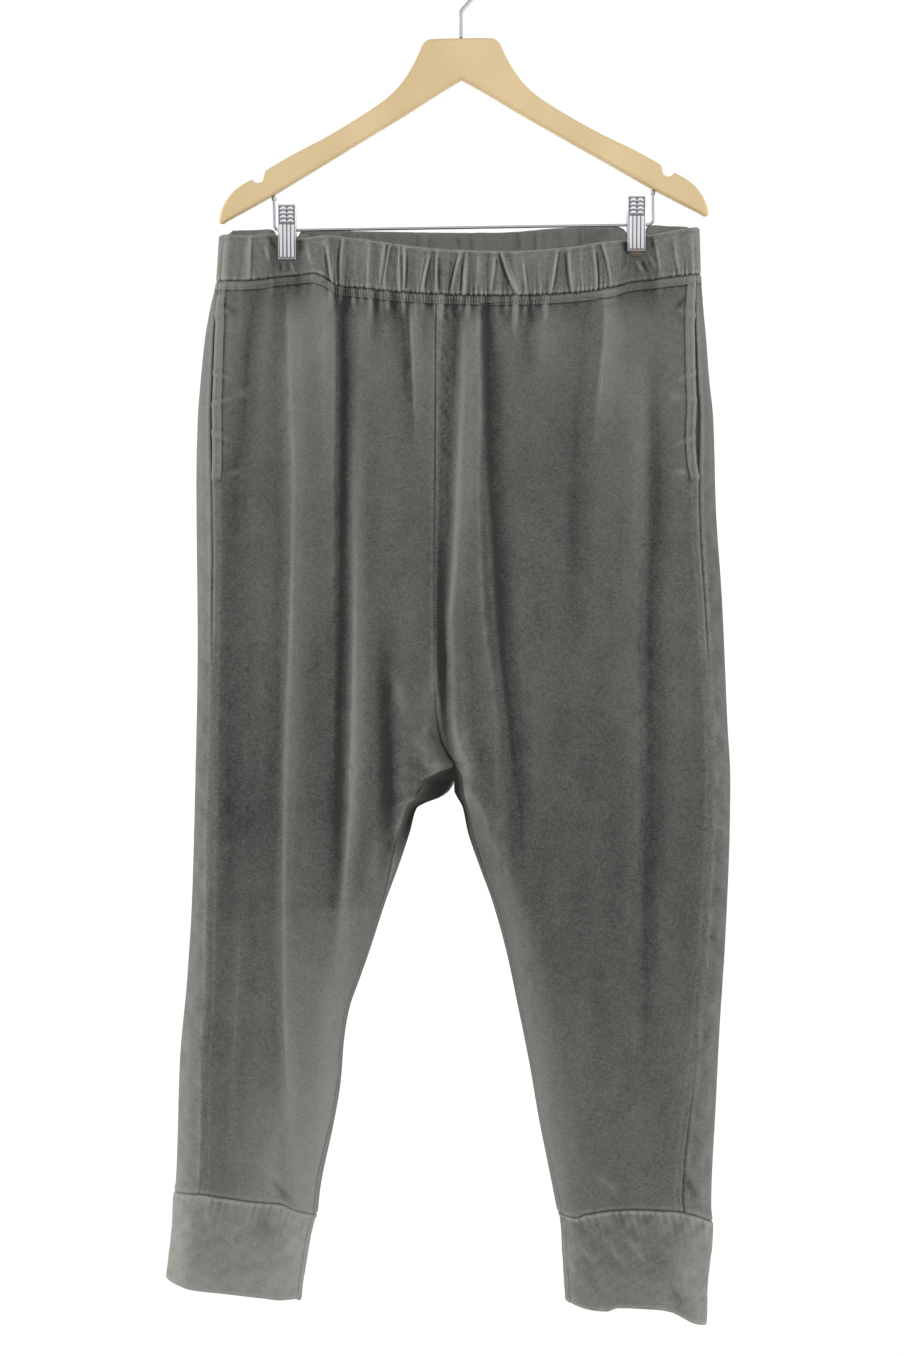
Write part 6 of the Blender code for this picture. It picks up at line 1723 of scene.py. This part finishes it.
def cloth_grain():
    """Knitted jersey after a mineral wash: colour from fine heather and clouds, wear along seams and
    edges, and painted light and shade (paler crests, which is partly wear of the wash, darker
    hollows, the shade layer, lighter and darker by height, and the fine ribs), and the normal of the
    knit and its fuzz. Tone lightens the whole."""
    nodes, start, end = group(
        "cloth grain",
        [("Dark", "NodeSocketColor", None), ("Light", "NodeSocketColor", None),
         ("Tone", "NodeSocketFloat", 0.0), ("Contrast", "NodeSocketFloat", 1.0)],
        [("Colour", "NodeSocketColor"), ("Normal", "NodeSocketVector")])
    place = nodes.place()
    _, along, down = nodes.cloth_xy()
    fine = nodes.noise(place, 1250.0, 2.0, 0.6)
    heather = nodes.noise(nodes.stretched(place, (0.75, 1.0, 1.0)), 560.0, 2.0, 0.6)
    flecks = nodes.noise(place, 250.0, 2.0, 0.55, 0.5)
    clouds = nodes.noise(nodes.stretched(place, (1.0, 1.0, 0.7)), 45.0, 3.0, 0.6, 0.4)
    broad = nodes.noise(nodes.stretched(place, (1.0, 1.0, 0.5)), 9.0, 2.0, 0.5)
    total = 0.0
    for source, gain in ((fine, 0.78), (heather, 0.55), (flecks, 0.26), (clouds, 0.28), (broad, 0.28)):
        total = nodes.math("MULTIPLY_ADD", nodes.math("SUBTRACT", source, 0.5), gain, total)
    total = nodes.math("MULTIPLY", total, start.outputs["Contrast"])
    # Painted light and shade: crest and broad make crests paler and hollows darker, shade is the panels'
    # painted layer, fade the painted light by height, and the ribs' sine lightens and darkens the fine ribs.
    # worn is wear along seams and edges.
    crest = nodes.attribute("crest")
    worn = nodes.math("MULTIPLY", nodes.attribute("wear"), nodes.span(heather, 0.3, 0.65, 0.1, 0.5))
    ribbing = nodes.math("MULTIPLY_ADD", along, WAVE_PER_MM / RIB_PITCH, nodes.math("MULTIPLY", flecks, 7.0))
    ribs = nodes.math("MULTIPLY", nodes.math("SINE", ribbing), nodes.attribute("ribs"))
    for source in (nodes.span(crest, 0.02, 0.2, 0.0, 0.4), nodes.span(crest, -0.25, -0.02, -0.4, 0.0),
                   nodes.span(nodes.attribute("broad"), -0.25, 0.25, -0.3, 0.3), nodes.attribute("shade"),
                   worn, nodes.math("MULTIPLY", nodes.attribute("fade"), 0.22),
                   nodes.math("MULTIPLY", ribs, 0.36), start.outputs["Tone"]):
        total = nodes.math("ADD", total, source)
    share = nodes.math("ADD", total, 0.36, clamp=True)
    across = nodes.math("SINE", nodes.math("MULTIPLY", along, WAVE_PER_MM / WALE_PITCH))
    leg = nodes.math("ABSOLUTE", across)
    course = nodes.math("MULTIPLY_ADD", leg, 1.6, nodes.math("MULTIPLY", down, WAVE_PER_MM / COURSE_PITCH))
    knit = nodes.math("MULTIPLY_ADD", nodes.math("SINE", course), 0.5, leg)
    soft = nodes.bump(nodes.math("MULTIPLY_ADD", fine, 1.2, heather), 0.0004, 0.5)
    gathered = nodes.bump(ribs, 0.0007, 1.0, Normal=soft)
    nodes.feed(end, {"Colour": nodes.mix(share, start.outputs["Dark"], start.outputs["Light"]),
                     "Normal": nodes.bump(knit, 0.00012, 0.5, Normal=gathered)})
    return nodes.tree


def cloth_finish(name, grain, dark, light, tone, contrast, sheen):
    """Matt, slightly fuzzy jersey."""
    finish, nodes, surface = new_finish(name)
    weave = nodes.add("ShaderNodeGroup", node_tree=grain)
    nodes.feed(weave, {"Dark": srgb(*dark), "Light": srgb(*light), "Tone": tone, "Contrast": contrast})
    nodes.feed(surface, {"Base Color": weave.outputs["Colour"], "Normal": weave.outputs["Normal"],
                         "Roughness": 0.94, "Specular IOR Level": 0.12, "Sheen Weight": sheen,
                         "Sheen Roughness": 0.42, "Sheen Tint": srgb(214, 216, 200)})
    return finish


def new_finish(name):
    """A material with only a surface shader and its output."""
    finish = bpy.data.materials.new(name)
    finish.use_nodes = True
    finish.node_tree.nodes.clear()
    nodes = Nodes(finish.node_tree)
    surface = nodes.add("ShaderNodeBsdfPrincipled")
    nodes.feed(nodes.add("ShaderNodeOutputMaterial"), {"Surface": surface.outputs[0]})
    return finish, nodes, surface


def wood_grain():
    """Pale beech: faint wavy figure along the arm, short pores, a slow drift of tone, and darker along
    the arm's underside.
    """
    nodes, start, end = group(
        "wood grain", [("Pale", "NodeSocketColor", None), ("Deep", "NodeSocketColor", None)],
        [("Colour", "NodeSocketColor"), ("Normal", "NodeSocketVector"), ("Roughness", "NodeSocketFloat")])
    along, _, across = nodes.cloth_xy()
    warp = nodes.noise(nodes.stretched(along, (6.0, 60.0, 1.0)), 1.0, 2.0, 0.5)
    wave = nodes.math("MULTIPLY_ADD", across, 1900.0, nodes.math("MULTIPLY", warp, 11.0))
    pores = nodes.noise(nodes.stretched(along, (130.0, 2100.0, 1.0)), 1.0, 2.0, 0.6)
    drift = nodes.noise(nodes.place(), 14.0, 2.0, 0.5)
    share = nodes.math("MULTIPLY", nodes.span(nodes.math("SINE", wave), -1.0, 1.0), 0.06)
    for source, gain in ((nodes.span(pores, 0.56, 0.74), 0.16), (nodes.span(drift, 0.3, 0.7), 0.3),
                         (nodes.attribute("foot_darkening"), 0.08)):
        share = nodes.math("MULTIPLY_ADD", source, gain, share)
    nodes.feed(end, {"Colour": nodes.mix(share, start.outputs["Pale"], start.outputs["Deep"]),
                     "Normal": nodes.bump(nodes.math("ADD", pores, share), 0.00008, 0.3),
                     "Roughness": nodes.span(drift, 0.3, 0.7, 0.36, 0.48)})
    return nodes.tree


def wood_finish(grain):
    """Clear-lacquered pale beech."""
    finish, nodes, surface = new_finish("pale beech")
    figure = nodes.add("ShaderNodeGroup", node_tree=grain)
    nodes.feed(figure, {"Pale": srgb(223, 198, 149), "Deep": srgb(188, 155, 103)})
    nodes.feed(surface, {"Base Color": figure.outputs["Colour"], "Normal": figure.outputs["Normal"],
                         "Roughness": figure.outputs["Roughness"], "Coat Weight": 0.25,
                         "Coat Roughness": 0.2, "Specular IOR Level": 0.4})
    return finish


def steel_finish(name, bright, dark, rough):
    """Bright plated steel with fine scratches, darker and less metallic where the hollow shade layer
    puts painted shade.
    """
    finish, nodes, surface = new_finish(name)
    scratches = nodes.noise(nodes.stretched(nodes.place(), (1.0, 1.0, 0.12)), 900.0, 3.0, 0.6)
    smudge = nodes.noise(nodes.place(), 60.0, 2.0, 0.5)
    hollow_shade = nodes.attribute("hollow_shade")
    nodes.feed(surface, {"Base Color": nodes.mix(hollow_shade, srgb(*bright), srgb(*dark)),
                         "Metallic": nodes.span(hollow_shade, 0.0, 1.0, 1.0, 0.35),
                         "Roughness": nodes.span(smudge, 0.3, 0.7, rough, rough + 0.1),
                         "Normal": nodes.bump(scratches, 0.00004, 0.35)})
    return finish


def pad_finish():
    """Brownish soft pad with a fine matt skin."""
    finish, nodes, surface = new_finish("soft pad")
    patches = nodes.span(nodes.noise(nodes.place(), 90.0, 2.0, 0.5), 0.35, 0.65)
    skin = nodes.noise(nodes.place(), 700.0, 3.0, 0.6)
    nodes.feed(surface, {"Base Color": nodes.mix(patches, srgb(84, 74, 60), srgb(112, 98, 78)),
                         "Normal": nodes.bump(skin, 0.0001, 0.5), "Roughness": 0.7})
    return finish


def floor_finish():
    """Plain pale floor."""
    finish, nodes, surface = new_finish("plain floor")
    tone = nodes.noise(nodes.place(), 3.0, 2.0, 0.5)
    nodes.feed(surface, {"Base Color": nodes.mix(tone, srgb(240, 240, 240), srgb(246, 246, 245)),
                         "Roughness": 0.8})
    return finish


# ---- floor, lights and camera ----
FLOOR_Z = -1.75
FLOOR_RADIUS = 1.7
CAMERA_PLACE = (-0.0081, -2.6, -0.656)
CAMERA_LENS = 76.3
Lamp = namedtuple("Lamp", "name x y z width height power")
LAMPS = table(Lamp, ("left box", -2.6, -0.3, -0.5, 1.2, 2.6, 52),
    ("right box", 2.6, -0.5, -0.5, 1.2, 2.6, 41), ("front box", 0.6, -3.2, 0.9, 2.4, 1.6, 26),
    ("back box", -0.4, 2.8, 0.5, 2.4, 2, 26))
LAMP_AIM = (0.0, 0.0, -0.7)


def floor(finish):
    """A flat round floor, well below the object."""
    turn = full_turn(64)
    rim = FLOOR_RADIUS * grid_points(np.cos(turn), np.sin(turn), FLOOR_Z / FLOOR_RADIUS)
    mesh = bpy.data.meshes.new("floor")
    mesh.from_pydata(rim.tolist(), [], [list(range(len(rim)))])
    mesh.materials.append(finish)
    made = bpy.data.objects.new("floor", mesh)
    bpy.context.scene.collection.objects.link(made)


def lights():
    """Soft boxes at both sides, a gentle front and back one, and an even white surround."""
    for lamp in LAMPS:
        light = bpy.data.lights.new(lamp.name, "AREA")
        light.shape = "RECTANGLE"
        light.size = lamp.width
        light.size_y = lamp.height
        light.energy = lamp.power
        made = bpy.data.objects.new(lamp.name, light)
        made.location = (lamp.x, lamp.y, lamp.z)
        made.rotation_euler = (Vector(LAMP_AIM) - made.location).to_track_quat("-Z", "Y").to_euler()
        made.visible_camera = False
        bpy.context.scene.collection.objects.link(made)
    world = bpy.data.worlds.new("white surround")
    bpy.context.scene.world = world
    world.use_nodes = True
    world.node_tree.nodes.clear()
    nodes = Nodes(world.node_tree)
    rays = nodes.add("ShaderNodeLightPath")
    mirrored = nodes.math("MULTIPLY", rays.outputs["Is Glossy Ray"], 0.7)
    seen = nodes.math("MAXIMUM", rays.outputs["Is Camera Ray"], mirrored)
    strength = nodes.span(seen, 0.0, 1.0, 0.55, 1.05)
    back = nodes.add("ShaderNodeBackground")
    nodes.feed(back, {"Color": (1.0, 1.0, 1.0, 1.0), "Strength": strength})
    nodes.feed(nodes.add("ShaderNodeOutputWorld"), {"Surface": back.outputs[0]})


def camera():
    """Level with the middle of the object, straight in front of it."""
    lens = bpy.data.cameras.new("camera")
    lens.lens = CAMERA_LENS
    lens.sensor_width = 36.0
    lens.sensor_fit = "AUTO"
    made = bpy.data.objects.new("camera", lens)
    made.location = CAMERA_PLACE
    made.rotation_euler = (0.5 * math.pi, 0.0, 0.0)
    bpy.context.scene.collection.objects.link(made)
    bpy.context.scene.camera = made
    bpy.context.scene.view_settings.view_transform = "Standard"


# ---- the object ----
def main():
    """Builds the cloth, the sewing, the hanger and the clips, and sets up the picture."""
    grain = cloth_grain()
    jersey = cloth_finish("washed jersey", grain, (56, 59, 56), (132, 134, 129), 0.0, 1.0, 0.3)
    band = cloth_finish("waistband jersey", grain, (54, 57, 54), (146, 148, 142), 0.0, 1.0, 0.3)
    cuffs = cloth_finish("cuff jersey", grain, (64, 67, 63), (144, 146, 140), 0.1, 0.9, 0.3)
    # The facing's jersey is a darker copy of the panels', painted shade inside the pocket.
    inside = cloth_finish("shaded facing jersey", grain, (46, 48, 46), (108, 110, 105), 0.0, 1.0, 0.2)
    thread = cloth_finish("sewing thread", grain, (84, 86, 81), (144, 146, 139), 0.1, 0.6, 0.2)
    beech = wood_finish(wood_grain())
    # Each steel's second colour is its painted shade, used where the hollow shade layer says.
    wire = steel_finish("plated wire", (158, 158, 162), (60, 60, 62), 0.34)
    pressed = steel_finish("plated pressed steel", (208, 208, 212), (112, 110, 116), 0.36)
    rubber = pad_finish()

    grids = body_grids()
    normals = outward(grids)
    skins = {side: {key: grids[side][key][0] + grids[side][key][1][..., None] * normals[side][key]
                    for key in grids[side]} for side in SIDES}
    match_skins(skins)
    cloth = (grids, normals, skins, jersey)
    fronts = [panel_piece("front_panel_" + side, side, ("front",), *cloth) for side in SIDES]
    backs = [panel_piece("back_panel_" + side, side, ("wrap", "back", "gusset"), *cloth) for side in SIDES]
    belt = waistband(grids, band)
    hems = [cuff(side, grids, cuffs) for side in SIDES]
    facings = [pocket_facing(side, grids, normals, inside) for side in SIDES]
    all_stitches(grids, skins, normals, thread)
    for side in SIDES:
        arm(side, beech)
    hook(wire)
    bar(wire)
    for clip in CLIPS:
        for face in FACE:
            jaw_plate(clip, face, pressed)
            pad(clip, face, rubber)
        spring(clip, pressed)
    floor(floor_finish())
    lights()
    camera()


main()
